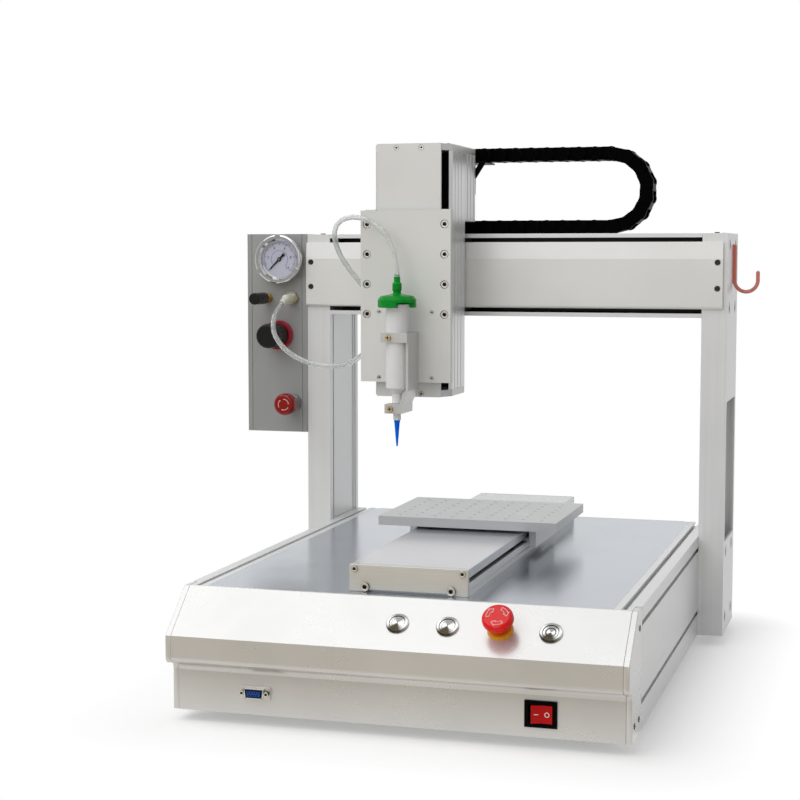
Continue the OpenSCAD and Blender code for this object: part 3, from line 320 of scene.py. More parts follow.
def brushed(name, color, rough=0.34, grain=(1, 1, 1), metallic=0.75, fine=900.0, hollow=None):
    """Drawn or machined aluminium with fine lines along the axis whose grain is small; painted shade, near black,
    fills a hollow.
    """
    f = Finish(name)
    lines = f.noise(fine, 4.0, 0.6, grain)
    cloud = f.noise(14.0, 3.0)
    tone = f.tint(f.step(0.7 * lines + 0.3 * cloud, 0.3, 0.7), shade(color, 0.93), shade(color, 1.05))
    if hollow:
        # Painted shade: inside the hollow the colour is near black and the metal dull
        inside = f.within(*hollow)
        tone = f.tint(inside, tone, (0.002, 0.002, 0.002))
        metallic = (1 - inside) * metallic
    f.set(Base_Color=tone, Roughness=rough + (lines - 0.5) * 0.16 + (cloud - 0.5) * 0.1, Metallic=metallic)
    return f.bump(lines, 0.05).material


def blasted(name, color, rough=0.42, metallic=0.6, coat=0.0):
    """Bead-blasted and anodised plate with a fine even tooth and faint handling marks."""
    f = Finish(name)
    tooth = f.noise(2600.0, 2.0)
    cloud = f.noise(9.0, 4.0)
    touch = f.step(f.noise(38.0, 5.0, 0.65), 0.56, 0.74)
    f.set(Base_Color=f.tint(f.step(cloud, 0.3, 0.7), shade(color, 0.96), shade(color, 1.03)),
        Roughness=rough + (tooth - 0.5) * 0.12 - touch * 0.05, Metallic=metallic, Coat_Weight=coat,
        Coat_Roughness=0.16)
    return f.bump(tooth, 0.06).material


def shade_painted_head(name, color, rough=0.18):
    """Screw head, bright on its top, with painted shade, near black, in its recess and around its side."""
    f = Finish(name)
    rise = f.node("ShaderNodeAttribute", {"attribute_name": "rise"}, out="Fac")
    wipe = f.noise(400.0, 4.0)
    # Painted shade: everything below the very top of the head is near black
    top = f.step(rise, 0.8, 0.98)
    bright = f.tint(f.step(wipe, 0.3, 0.7), shade(color, 0.85), shade(color, 1.1))
    f.set(Base_Color=f.tint(top, (0.02, 0.02, 0.018), bright), Metallic=0.95, Roughness=rough + wipe * 0.12)
    return f.bump(wipe, 0.03).material


def enamel(name, color, rough=0.4, coat=0.15, peel_size=420.0, depth=0.10, metallic=0.0):
    """Powder coat with a slight orange peel and faint handling marks."""
    f = Finish(name)
    peel = f.noise(peel_size, 2.0)
    cloud = f.noise(11.0, 3.0)
    touch = f.step(f.noise(14.0, 1.5, 0.4), 0.45, 0.75)
    f.set(Base_Color=f.tint(f.step(cloud, 0.3, 0.7), shade(color, 0.96), shade(color, 1.03)),
        Roughness=rough + (peel - 0.5) * 0.04 - touch * 0.03, Coat_Weight=coat, Coat_Roughness=0.25,
        Metallic=metallic)
    return f.bump(peel, depth).material


def moulded(name, color, rough=0.42, tooth=1500.0, depth=0.08, gloss=0.5):
    """Moulded plastic with a fine spark-eroded tooth."""
    f = Finish(name)
    grain = f.noise(tooth, 3.0)
    cloud = f.noise(30.0, 3.0)
    f.set(Base_Color=f.tint(f.step(cloud, 0.3, 0.7), shade(color, 0.9), shade(color, 1.1)),
        Roughness=rough + (grain - 0.5) * 0.2 + (cloud - 0.5) * 0.08, Specular_IOR_Level=gloss)
    return f.bump(grain, depth).material


def polished(name, color, rough=0.12, metallic=1.0):
    """Plated or polished metal with faint wipe marks."""
    f = Finish(name)
    wipe = f.noise(60.0, 5.0, 0.6, (1, 1, 5))
    f.set(Base_Color=f.tint(f.step(wipe, 0.3, 0.7), shade(color, 0.94), shade(color, 1.02)),
        Roughness=rough + f.step(wipe, 0.45, 0.75) * 0.1, Metallic=metallic)
    return f.bump(wipe, 0.02).material


def spun_with_painted_sheen(name, ring=0.0, highlight_gain=1.0):
    """Turned stainless around the nearest button's axis, with a painted bow-tie highlight, a painted reflection
    darker on the lower half and a dark ring at a radius in millimetres.
    """
    f = Finish(name)
    x, y, z = f.axes()
    across = x - BUTTONS[0] / 1000
    for left, right in zip(BUTTONS, BUTTONS[1:]):
        across = across - (x > (left + right) / 2000) * ((right - left) / 1000)
    along = (y - SLOPE[0] / 1000) * math.cos(SLOPE[2]) + (z - SLOPE[1] / 1000) * math.sin(SLOPE[2])
    far = (across * across + along * along).root()
    rings = (far * 14000.0).sin() * 0.5 + 0.5
    cloud = f.noise(900.0, 3.0)
    dark_ring = (far > (ring - 0.5) / 1000) * (far < (ring + 0.5) / 1000)
    angle = along.angle(across)
    # Painted highlight: light and dark by the angle round the button, a bow-tie as turned metal reflects it
    painted_bowtie = f.step((angle * 2.0 + 0.35).cos() + (rings - 0.5) * 0.3, -0.5, 0.8)
    # Painted reflection: the lower half of the button dark brown, the upper half a lighter grey
    dark = f.tint(f.step(along, -0.001, 0.001), (0.07, 0.06, 0.04), (0.24, 0.24, 0.225))
    bright = f.tint(painted_bowtie, dark, shade((0.80, 0.80, 0.79), highlight_gain))
    f.set(Base_Color=f.tint(dark_ring, bright, (0.03, 0.03, 0.028)), Metallic=1.0, Roughness=0.17 + cloud * 0.1)
    return f.bump(rings, 0.3, 0.00012).material


def clear(name, color, rough, transmission, ior=1.4):
    """See-through plastic or glass with a faint haze."""
    f = Finish(name)
    haze = f.noise(70.0, 4.0)
    f.set(Base_Color=f.tint(f.step(haze, 0.3, 0.7), shade(color, 0.96), color),
        Roughness=rough + f.step(haze, 0.4, 0.8) * 0.08, Transmission_Weight=transmission, IOR=ior)
    return f.material


def socket_finish(name):
    """Nickel flange and shell on the front with painted shade, near black, deep inside the shell; black mains
    inlet on the rear wall.
    """
    f = Finish(name)
    x, y, z = f.axes()
    rear = f.step(y, 0, 0.001)
    across = (x - SOCKET[0] / 1000).size()
    rise = z - SOCKET[2] / 1000
    lean, half_width, half_height, depth = 0.143, 0.0089, 0.0043, 2.3
    # Painted shade: the inside of the dee shell in front of the flange
    inside = (across - rise * lean < half_width) * (rise.size() < half_height) * (y < (TOE_Y - depth) / 1000)
    tooth = f.noise(1200.0, 3.0)
    # Black of the inlet together with the painted shade in the shell
    dark = (rear + inside).least(1)
    color = f.tint(dark, (0.74, 0.73, 0.69), (0.008, 0.008, 0.009))
    f.set(Base_Color=color, Metallic=(1 - dark) * 0.55, Roughness=0.26 + tooth * 0.12 + dark * 0.2)
    return f.bump(tooth, 0.05).material


def collar_finish(name):
    """Yellow base of the front stop, crimson regulator collar and steel collar of the second stop."""
    f = Finish(name)
    x, _, z = f.axes()
    front = f.step(x, 0, 0.001)
    upper = f.step(z, *COLLAR_BORDER)
    tooth = f.noise(900.0, 3.0)
    color = f.tint(front, f.tint(upper, (0.42, 0.41, 0.39), (0.40, 0.012, 0.035)), (0.80, 0.36, 0.015))
    f.set(Base_Color=color, Metallic=(1 - front) * (1 - upper), Roughness=0.28 + tooth * 0.14,
        Specular_IOR_Level=0.35)
    return f.bump(tooth, 0.05).material


def fitting_finish(name):
    """Brass valve body, nickel-brass hexagon of the outlet and its pale moulded elbow."""
    f = Finish(name)
    x, y, _ = f.axes()
    outlet = f.step(x, *OUTLET_BORDER)
    elbow = outlet * f.step(y, *ELBOW_BORDER)
    wipe = f.noise(300.0, 4.0)
    color = f.tint(outlet, (0.62, 0.42, 0.13), f.tint(elbow, (0.56, 0.50, 0.34), (0.70, 0.70, 0.62)))
    f.set(Base_Color=color, Metallic=1 - elbow, Roughness=0.2 + wipe * 0.16 + elbow * 0.15)
    return f.bump(wipe, 0.04).material


def cap_finish(name):
    """Green receiver cap with moulding swirl."""
    f = Finish(name)
    swirl = f.noise(120.0, 4.0, 0.6, (1, 1, 3))
    f.set(Base_Color=f.tint(f.step(swirl, 0.3, 0.7), hue("cap", 0.85), hue("cap", 1.15)),
        Roughness=0.2 + swirl * 0.12, Specular_IOR_Level=0.12)
    return f.bump(swirl, 0.05).material


def dial_finish(name):
    """Printed dial with a lilac cast, paler towards its rim."""
    f = Finish(name)
    x, _, z = f.axes()
    across, rise = x - GAUGE[0] / 1000, z - GAUGE[1] / 1000
    paper = f.noise(800.0, 3.0)
    rim = f.step(across * across + rise * rise, 0.0, 0.0006)
    f.set(Base_Color=f.tint(rim, (0.62, 0.63, 0.78), (0.66, 0.67, 0.76)), Roughness=0.45 + paper * 0.15)
    return f.bump(paper, 0.02).material


# Grain of drawn lines along each axis and of milled faces, and colour of milled aluminium
DRAWN_X, DRAWN_Y, DRAWN_Z = (0.004, 1, 1), (1, 0.004, 1), (1, 1, 0.004)
MILLED_GRAIN, MILLED = (0.02, 1, 1), (0.64, 0.635, 0.62)


FINISHES = {
    "panel_enamel": lambda n: enamel(n, hue("panel"), 0.29, 0.0, 120.0, 0.004, 0.45),
    "satin_cover": lambda n: blasted(n, hue("cover", 0.95), 0.46, 0.12),
    "gloss_cover": lambda n: blasted(n, (0.49, 0.495, 0.525), 0.2, 0.3, 0.3),
    "carriage_metal": lambda n: brushed(n, (0.82, 0.82, 0.81), 0.36, MILLED_GRAIN, 0.3),
    "beam_cover": lambda n: blasted(n, hue("cover"), 0.34, 0.22, 0.1),
    "drawn_upright": lambda n: brushed(n, hue("frame"), 0.36, DRAWN_Z, 0.3),
    "drawn_along": lambda n: brushed(n, hue("frame"), 0.36, DRAWN_Y, 0.3),
    "beam_profile": lambda n: brushed(n, hue("frame"), 0.36, DRAWN_X, 0.3, hollow=BEAM_SHADE_BOX),
    "z_profile": lambda n: brushed(n, hue("frame"), 0.34, DRAWN_Z, 0.4, hollow=Z_SHADE_BOX),
    "z_slide": lambda n: brushed(n, MILLED, 0.38, MILLED_GRAIN, 0.4, hollow=Z_SHADE_BOX),
    "machined": lambda n: brushed(n, MILLED, 0.38, MILLED_GRAIN, 0.4),
    "cap_plate": lambda n: brushed(n, (0.70, 0.685, 0.635), 0.36, MILLED_GRAIN, 0.3),
    "deck_sheet": lambda n: brushed(n, hue("deck"), 0.2, (1, 0.006, 1), 0.7, 700.0),
    "table_grey": lambda n: blasted(n, (0.56, 0.565, 0.57), 0.38, 0.4),
    "box_enamel": lambda n: enamel(n, hue("box"), 0.42),
    "tray_enamel": lambda n: enamel(n, (0.42, 0.42, 0.41)),
    "hook_enamel": lambda n: enamel(n, (0.80, 0.25, 0.20), 0.35, 0.2),
    "black_plastic": lambda n: moulded(n, (0.002, 0.002, 0.002), 0.36, gloss=0.03),
    "chain_plastic": lambda n: moulded(n, (0.001, 0.001, 0.001), 0.34, 1100.0, 0.12, 0.015),
    "knob_rubber": lambda n: moulded(n, (0.005, 0.005, 0.006), 0.28, 2200.0, 0.12, 0.3),
    "foot_rubber": lambda n: moulded(n, (0.03, 0.03, 0.03), 0.75, 1800.0, 0.2),
    "belt_rubber": lambda n: moulded(n, (0.02, 0.02, 0.02), 0.7, 900.0, 0.3),
    "stop_red": lambda n: moulded(n, hue("stop"), 0.12, 1300.0, 0.03, 0.3),
    "stop_crimson": lambda n: moulded(n, hue("stop", 0.33), 0.10, 1300.0, 0.03, 0.4),
    "rocker_red": lambda n: moulded(n, hue("stop", 0.62), 0.14, 1500.0, 0.03, 0.16),
    "tip_blue": lambda n: moulded(n, hue("tip"), 0.4, 700.0, 0.03, 0.06),
    "insert_blue": lambda n: moulded(n, (0.012, 0.09, 0.50), 0.35, 1500.0, 0.05, 0.25),
    "mark_pink": lambda n: moulded(n, (0.80, 0.46, 0.40), 0.4, 2000.0, 0.02),
    "mark_white": lambda n: moulded(n, (0.82, 0.82, 0.80), 0.5, 2000.0, 0.02),
    "mark_blue": lambda n: moulded(n, (0.13, 0.14, 0.42), 0.5, 2000.0, 0.02),
    "mark_dark": lambda n: moulded(n, (0.012, 0.012, 0.014), 0.45, 2000.0, 0.02, 0.25),
    "board_green": lambda n: moulded(n, (0.02, 0.14, 0.05), 0.4, 600.0, 0.1),
    "chrome": lambda n: polished(n, (0.76, 0.76, 0.76), 0.04),
    "bezel_steel": lambda n: spun_with_painted_sheen(n, highlight_gain=0.85),
    "cap_steel": spun_with_painted_sheen,
    "home_steel": lambda n: spun_with_painted_sheen(n, 4.6),
    "screw_steel": lambda n: shade_painted_head(n, (0.78, 0.76, 0.70)),
    "dark_screw": lambda n: polished(n, (0.05, 0.05, 0.052), 0.34, 0.8),
    "bright_rim": lambda n: polished(n, (0.86, 0.86, 0.85), 0.22, 0.7),
    "screw_brass": lambda n: shade_painted_head(n, (0.86, 0.72, 0.42), 0.12),
    "rail_steel": lambda n: polished(n, (0.36, 0.36, 0.37), 0.25),
    "motor_black": lambda n: enamel(n, (0.03, 0.03, 0.032), 0.45),
    "pulley_metal": lambda n: brushed(n, (0.5, 0.5, 0.5), 0.3),
    "hose_clear": lambda n: clear(n, (0.93, 0.95, 0.94), 0.06, 0.82, 1.33),
    "barrel_frost": lambda n: clear(n, (0.99, 0.99, 0.99), 0.30, 0.2, 1.3),
    "lens_glass": lambda n: clear(n, (1.0, 1.0, 1.0), 0.0, 1.0, 1.08),
    "sockets": socket_finish,
    "collars": collar_finish,
    "fittings": fitting_finish,
    "cap_green": cap_finish,
    "dial_white": dial_finish,
}

# Finish of each CAD node that stays as it is
KEPT = {
    "base_tray": "tray_enamel", "rubber_feet": "foot_rubber", "control_electronics": "board_green",
    "button_bezels": "bezel_steel", "knob_collars": "collars", "guide_rails": "rail_steel",
    "drive_motors": "motor_black", "drive_belts": "belt_rubber", "hook": "hook_enamel", "gauge_case": "chrome",
    "gauge_lens": "lens_glass", "air_fittings": "fittings", "start_button": "cap_steel",
    "pause_button": "cap_steel", "home_button": "home_steel", "stop_button": "stop_red",
    "gauge_pointer": "mark_dark", "regulator_knob": "knob_rubber", "valve_knob": "knob_rubber",
    "box_stop_button": "stop_crimson", "x_drive_pulley": "pulley_metal", "x_idler_pulley": "pulley_metal",
    "y_drive_pulley": "pulley_metal", "y_idler_pulley": "pulley_metal", "z_motor": "motor_black",
    "z_belt": "belt_rubber", "z_screw": "rail_steel", "z_motor_pulley": "pulley_metal",
    "syringe_barrel": "barrel_frost", "receiver_cap": "cap_green", "dispensing_tip": "tip_blue",
}

# Nodes that get rounded edges: finish and width of the edge in millimetres
EDGED = {
    "front_panel": ("panel_enamel", 0.5), "end_plates": ("panel_enamel", 0.8), "side_rails": ("drawn_along", 0.4),
    "deck_plate": ("deck_sheet", 0.4), "columns": ("drawn_upright", 0.5), "x_beam": ("beam_profile", 0.6),
    "x_cover": ("beam_cover", 0.7), "control_box": ("box_enamel", 0.7), "y_body": ("drawn_along", 0.4),
    "y_cover": ("gloss_cover", 0.7), "y_end_caps": ("cap_plate", 0.6), "table_plate": ("table_grey", 0.6),
    "y_carriage": ("carriage_metal", 0.4), "x_carriage": ("machined", 0.4), "z_body": ("z_profile", 0.4),
    "z_cover": ("satin_cover", 0.7), "z_end_plates": ("machined", 0.6), "motor_cover": ("drawn_upright", 0.4),
    "z_carriage": ("z_slide", 0.5), "z_plate": ("satin_cover", 0.9), "syringe_bracket": ("machined", 0.5),
    "panel_sockets": ("sockets", 0.2), "switch_frame": ("black_plastic", 0.4),
    "switch_paddle": ("rocker_red", 0.4), "chain_bend": ("chain_plastic", 0.3),
}


def finish(name):
    """The material of that name, made when it is first used."""
    label = name.replace("_", " ").capitalize()
    return bpy.data.materials.get(label) or FINISHES[name](label)


# ---------------------------------------------------------------- mesh helpers

WELD = 2e-6                 # metres between corners that count as one
FLAT = math.radians(0.5)    # bend between triangles of one face
SHARP = math.radians(40)    # bend of an edge that gets rounded


def merged(node):
    """A copy of a CAD node's mesh with its triangles joined into whole faces."""
    bm = bmesh.new()
    bm.from_mesh(NODES[node].data)
    bmesh.ops.remove_doubles(bm, verts=bm.verts, dist=WELD)
    bmesh.ops.dissolve_limit(bm, angle_limit=FLAT, verts=bm.verts, edges=bm.edges)
    return bm


def islands(bm):
    """The separate solids of a mesh, each as a list of its vertices."""
    left, found = set(bm.verts), []
    while left:
        group, reach = [], [left.pop()]
        while reach:
            vert = reach.pop()
            group.append(vert)
            for edge in vert.link_edges:
                other = edge.other_vert(vert)
                if other in left:
                    left.remove(other)
                    reach.append(other)
        found.append(group)
    return found


def facet(face):
    """True for one facet of a rounded surface: narrow, and bent a little against a neighbour."""
    mean_width, least_bend, most_bend = 0.006, 0.01, 0.7
    longest = max(edge.calc_length() for edge in face.edges)
    bends = [edge.calc_face_angle(0.0) for edge in face.edges]
    return face.calc_area() < mean_width * longest and any(least_bend < bend < most_bend for bend in bends)


def as_mesh(bm, name, smooth=True):
    """A mesh of these faces; smooth can be a test of each face."""
    mesh = bpy.data.meshes.new(name)
    for face in bm.faces:
        face.smooth = smooth(face) if callable(smooth) else smooth
    bm.to_mesh(mesh)
    bm.free()
    return mesh


def loose(name, mesh):
    """An object in the scene that isn't a piece yet."""
    obj = bpy.data.objects.new(name, mesh)
    bpy.context.scene.collection.objects.link(obj)
    return obj


def add(name, mesh, body, finish_name, slot, *nodes):
    """A finished piece on a body, in place of any CAD nodes that are named."""
    mesh.materials.clear()
    mesh.materials.append(finish(finish_name))
    obj = loose(name, mesh)
    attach(obj, body)
    if nodes:
        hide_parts(*nodes)
    return obj


def rounded(obj, width):
    """A live bevel on the sharp edges, with the flat faces kept flat in shading."""
    edge = obj.modifiers.new("edge", "BEVEL")
    edge.width = width * 0.001
    edge.segments = 2
    edge.limit_method = "ANGLE"
    edge.angle_limit = SHARP
    edge.harden_normals = True
    return obj


def baked(obj):
    """The evaluated mesh of an object, as a plain mesh; the object goes."""
    graph = bpy.context.evaluated_depsgraph_get()
    mesh = bpy.data.meshes.new_from_object(
        obj.evaluated_get(graph), preserve_all_data_layers=True, depsgraph=graph)
    obj.modifiers.clear()
    bpy.data.objects.remove(obj)
    return mesh


def prism(bm, outline, low, high, matrix):
    """A straight prism on an outline that runs anticlockwise, seen from above."""
    rings = [[bm.verts.new(matrix @ Vector((x, y, z))) for x, y in outline] for z in (low, high)]
    bm.faces.new(reversed(rings[0]))
    bm.faces.new(rings[1])
    for i in range(len(outline)):
        j = (i + 1) % len(outline)
        bm.faces.new((rings[0][i], rings[0][j], rings[1][j], rings[1][i]))


def band(bm, inner, outer, start, end, low, high, matrix, parts=24):
    """A flat arc band between two radii; a full turn closes on itself."""
    whole = abs(abs(end - start) - TAU) < 1e-6
    turns = [start + (end - start) * i / parts for i in range(parts if whole else parts + 1)]
    rows = [[bm.verts.new(matrix @ Vector((r * math.cos(a), r * math.sin(a), z)))
        for r, z in ((inner, low), (outer, low), (outer, high), (inner, high))] for a in turns]
    for i in range(len(rows) if whole else len(rows) - 1):
        one, two = rows[i], rows[(i + 1) % len(rows)]
        for k in range(4):
            bm.faces.new((one[k], one[(k + 1) % 4], two[(k + 1) % 4], two[k]))
    if not whole:
        bm.faces.new(reversed(rows[0]))
        bm.faces.new(rows[-1])


def stroke(bm, points, width, high, matrix):
    """Thin flat bars along a line of points."""
    for a, b in zip(points, points[1:]):
        way = (Vector(b) - Vector(a)).normalized() * width / 2
        side = Vector((-way.y, way.x))
        start, end = Vector(a) - way, Vector(b) + way
        prism(bm, [start - side, end - side, end + side, start + side], 0.0, high, matrix)


def outward(bm):
    """The same mesh, with every face turned outwards."""
    bmesh.ops.recalc_face_normals(bm, faces=bm.faces)
    return bm


def facing(x, y, z):
    """Frame at a point, with its own Z towards the user."""
    return Matrix.Translation(mm(x, y, z)) @ Matrix.Rotation(math.pi / 2, 4, "X")


def on_box(at, out=0.0):
    """Frame on the control box's front, with its own Z towards the user."""
    return facing(at[0], BOX_Y - out, at[1])


def on_slope(x, out=0.0):
    """Frame on the sloped face, with its own Z along the face's normal."""
    return (Matrix.Translation(mm(x, SLOPE[0], SLOPE[1])) @ Matrix.Rotation(SLOPE[2], 4, "X")
        @ Matrix.Translation(mm(0, 0, out)))


# ---------------------------------------------------------------- geometry node trees

def new_tree(name, inputs):
    """A geometry tree with its named inputs; gives the graph and the inputs' values."""
    tree = bpy.data.node_groups.new(name, "GeometryNodeTree")
    face = tree.interface
    face.new_socket("Geometry", in_out="INPUT", socket_type="NodeSocketGeometry")
    for label, kind in inputs:
        face.new_socket(label, in_out="INPUT", socket_type="NodeSocket" + kind)
    face.new_socket("Geometry", in_out="OUTPUT", socket_type="NodeSocketGeometry")
    graph = Graph(tree)
    entry = tree.nodes.new("NodeGroupInput")
    return graph, {s.name: Value(graph, s) for s in entry.outputs if s.name}


def end_tree(graph, instances, material):
    """The tree, ended in real geometry of one material."""
    whole = graph.node("GeometryNodeRealizeInstances", None, {0: instances})
    painted = graph.node("GeometryNodeSetMaterial", None, {"Geometry": whole, "Material": material})
    graph.tree.links.new(painted.socket, graph.tree.nodes.new("NodeGroupOutput").inputs[0])
    return graph.tree


def screw_tree():
    """Screw heads on points: a round head with a six-sided or a crossed recess, aimed by each point."""
    tree = bpy.data.node_groups.get("Screw heads")
    if tree:
        return tree
    g, i = new_tree("Screw heads", [("Head Radius", "Float"), ("Head Height", "Float"), ("Recess Radius", "Float"),
        ("Recess Depth", "Float"), ("Crossed", "Bool"), ("Material", "Material")])
    tall, deep = i["Head Height"], i["Recess Depth"]
    head = g.node("GeometryNodeMeshCylinder", None,
        {"Vertices": 28, "Radius": i["Head Radius"], "Depth": tall})
    hexagon = g.node("GeometryNodeMeshCylinder", None,
        {"Vertices": 6, "Radius": i["Recess Radius"], "Depth": deep * 2})
    width = i["Recess Radius"] * 0.42
    span = i["Recess Radius"] * 2
    one = g.node("GeometryNodeMeshCube", None,
        {"Size": g.node("ShaderNodeCombineXYZ", None, {0: span, 1: width, 2: deep * 2})})
    two = g.node("GeometryNodeMeshCube", None,
        {"Size": g.node("ShaderNodeCombineXYZ", None, {0: width, 1: span, 2: deep * 2})})
    lift = g.node("ShaderNodeCombineXYZ", None, {2: tall * 0.5})

    def minus(whole, tool):
        raised = g.node("GeometryNodeTransform", None, {"Geometry": tool, "Translation": lift})
        return g.node("GeometryNodeMeshBoolean", {"operation": "DIFFERENCE"}, {"Mesh 1": whole, "Mesh 2": raised})

    cut = g.node("GeometryNodeSwitch", {"input_type": "GEOMETRY"},
        {"Switch": i["Crossed"], "False": minus(head, hexagon), "True": minus(minus(head, one), two)})
    seated = g.node("GeometryNodeTransform", None, {"Geometry": cut, "Translation": lift})
    # Height up the head, which the head finish reads to paint shade below the top
    height = g.node("ShaderNodeSeparateXYZ", None, {0: g.node("GeometryNodeInputPosition")}, out=2) / tall
    seated = g.node("GeometryNodeStoreNamedAttribute", {"data_type": "FLOAT", "domain": "POINT"},
        {"Geometry": seated, "Name": "rise", "Value": height})
    aim = g.node("GeometryNodeInputNamedAttribute", {"data_type": "FLOAT_VECTOR"}, {"Name": "aim"})
    turned = g.node("FunctionNodeEulerToRotation", None, {0: aim})
    points = g.node("GeometryNodeMeshToPoints", None, {"Mesh": i["Geometry"]})
    heads = g.node("GeometryNodeInstanceOnPoints", None,
        {"Points": points, "Instance": seated, "Rotation": turned})
    return end_tree(g, heads, i["Material"])


def row_tree():
    """A row of one piece along X at an even pitch."""
    tree = bpy.data.node_groups.get("Row of links")
    if tree:
        return tree
    g, i = new_tree("Row of links", [("Count", "Int"), ("Pitch", "Float"), ("Link", "Object"),
        ("Material", "Material")])
    line = g.node("GeometryNodeMeshLine", {"mode": "OFFSET"},
        {"Count": i["Count"], "Offset": g.node("ShaderNodeCombineXYZ", None, {0: i["Pitch"]})})
    link = g.node("GeometryNodeObjectInfo", {"transform_space": "ORIGINAL"}, {"Object": i["Link"]}, out="Geometry")
    points = g.node("GeometryNodeMeshToPoints", None, {"Mesh": line})
    run = g.node("GeometryNodeInstanceOnPoints", None, {"Points": points, "Instance": link})
    return end_tree(g, run, i["Material"])


def arc_tree():
    """Bars that point outwards from an arc: scale marks, clips and ribs."""
    tree = bpy.data.node_groups.get("Bars on an arc")
    if tree:
        return tree
    g, i = new_tree("Bars on an arc", [("Count", "Int"), ("Start", "Float"), ("Sweep", "Float"),
        ("Radius", "Float"), ("Length", "Float"), ("Width", "Float"), ("Thickness", "Float"),
        ("Material", "Material")])
    index = g.node("GeometryNodeInputIndex")
    angle = i["Start"] + i["Sweep"] * index / (i["Count"] - 1).most(1)
    place = g.node("ShaderNodeCombineXYZ", None, {0: angle.cos() * i["Radius"], 1: angle.sin() * i["Radius"]})
    points = g.node("GeometryNodePoints", None, {"Count": i["Count"], "Position": place})
    bar = g.node("GeometryNodeMeshCube", None,
        {"Size": g.node("ShaderNodeCombineXYZ", None, {0: i["Length"], 1: i["Width"], 2: i["Thickness"]})})
    turned = g.node("FunctionNodeEulerToRotation", None,
        {0: g.node("ShaderNodeCombineXYZ", None, {2: angle})})
    bars = g.node("GeometryNodeInstanceOnPoints", None,
        {"Points": points, "Instance": bar, "Rotation": turned})
    return end_tree(g, bars, i["Material"])


def grown(tree, mesh=None, **values):
    """The plain mesh that a geometry tree makes from these inputs."""
    obj = loose("growing", mesh or bpy.data.meshes.new("growing"))
    modifier = obj.modifiers.new("tree", "NODES")
    modifier.node_group = tree
    for item in tree.interface.items_tree:
        key = item.name.lower().replace(" ", "_")
        if item.in_out == "INPUT" and key in values:
            modifier[item.identifier] = values[key]
    return baked(obj)


def point_mesh(places):
    """Points with the turn that takes +Z to each one's direction."""
    mesh = bpy.data.meshes.new("places")
    mesh.from_pydata([mm(*place) for place, _ in places], [], [])
    turns = mesh.attributes.new("aim", "FLOAT_VECTOR", "POINT")
    for i, (_, way) in enumerate(places):
        turns.data[i].vector = Vector(way).to_track_quat("Z", "Y").to_euler()
    return mesh


def screws(name, body, places, head, recess, finish_name="screw_steel", crossed=False):
    """Screw heads of one size on one body; head and recess are radius and height in millimetres."""
    mesh = grown(screw_tree(), point_mesh(places), head_radius=head[0] / 1000, head_height=head[1] / 1000,
        recess_radius=recess[0] / 1000, recess_depth=recess[1] / 1000, crossed=crossed,
        material=finish(finish_name))
    obj = add(name, mesh, body, finish_name, "rail_steel")
    return rounded(obj, min(0.35, head[1] * 0.25))


# ---------------------------------------------------------------- settings

def color(name, description, default):
    """A colour among the settings."""
    return FloatVectorProperty(name=name, description=description, subtype="COLOR", size=3, min=0, max=1,
        default=default)


class RobotLooks(bpy.types.PropertyGroup):
    """Colours and small sizes of the robot's looks."""

    panel_color: color("Front panel", "Colour of the front panel and its end plates", (0.68, 0.68, 0.675))
    cover_color: color("Covers", "Colour of the covers and the Z plate", (0.80, 0.80, 0.775))
    frame_color: color("Frame", "Colour of the drawn aluminium", (0.80, 0.805, 0.805))
    deck_color: color("Deck", "Colour of the deck sheet", (0.42, 0.46, 0.51))
    box_color: color("Control box", "Colour of the control box", (0.345, 0.35, 0.345))
    stop_color: color("Stop buttons", "Colour of the stop buttons and the rocker", (0.84, 0.006, 0.006))
    cap_color: color("Receiver cap", "Colour of the syringe's receiver cap", (0.003, 0.27, 0.024))
    tip_color: color("Dispensing tip", "Colour of the dispensing tip", (0.001, 0.16, 1.0))
    hose_d: FloatProperty(name="Hose diameter", description="Outer diameter of the air hose",
        subtype="DISTANCE", unit="LENGTH", min=0.004, max=0.006, default=0.006)
    dial_marks: IntProperty(name="Dial marks", description="Number of marks around the pressure dial",
        min=11, max=101, default=51)


# ---------------------------------------------------------------- operators

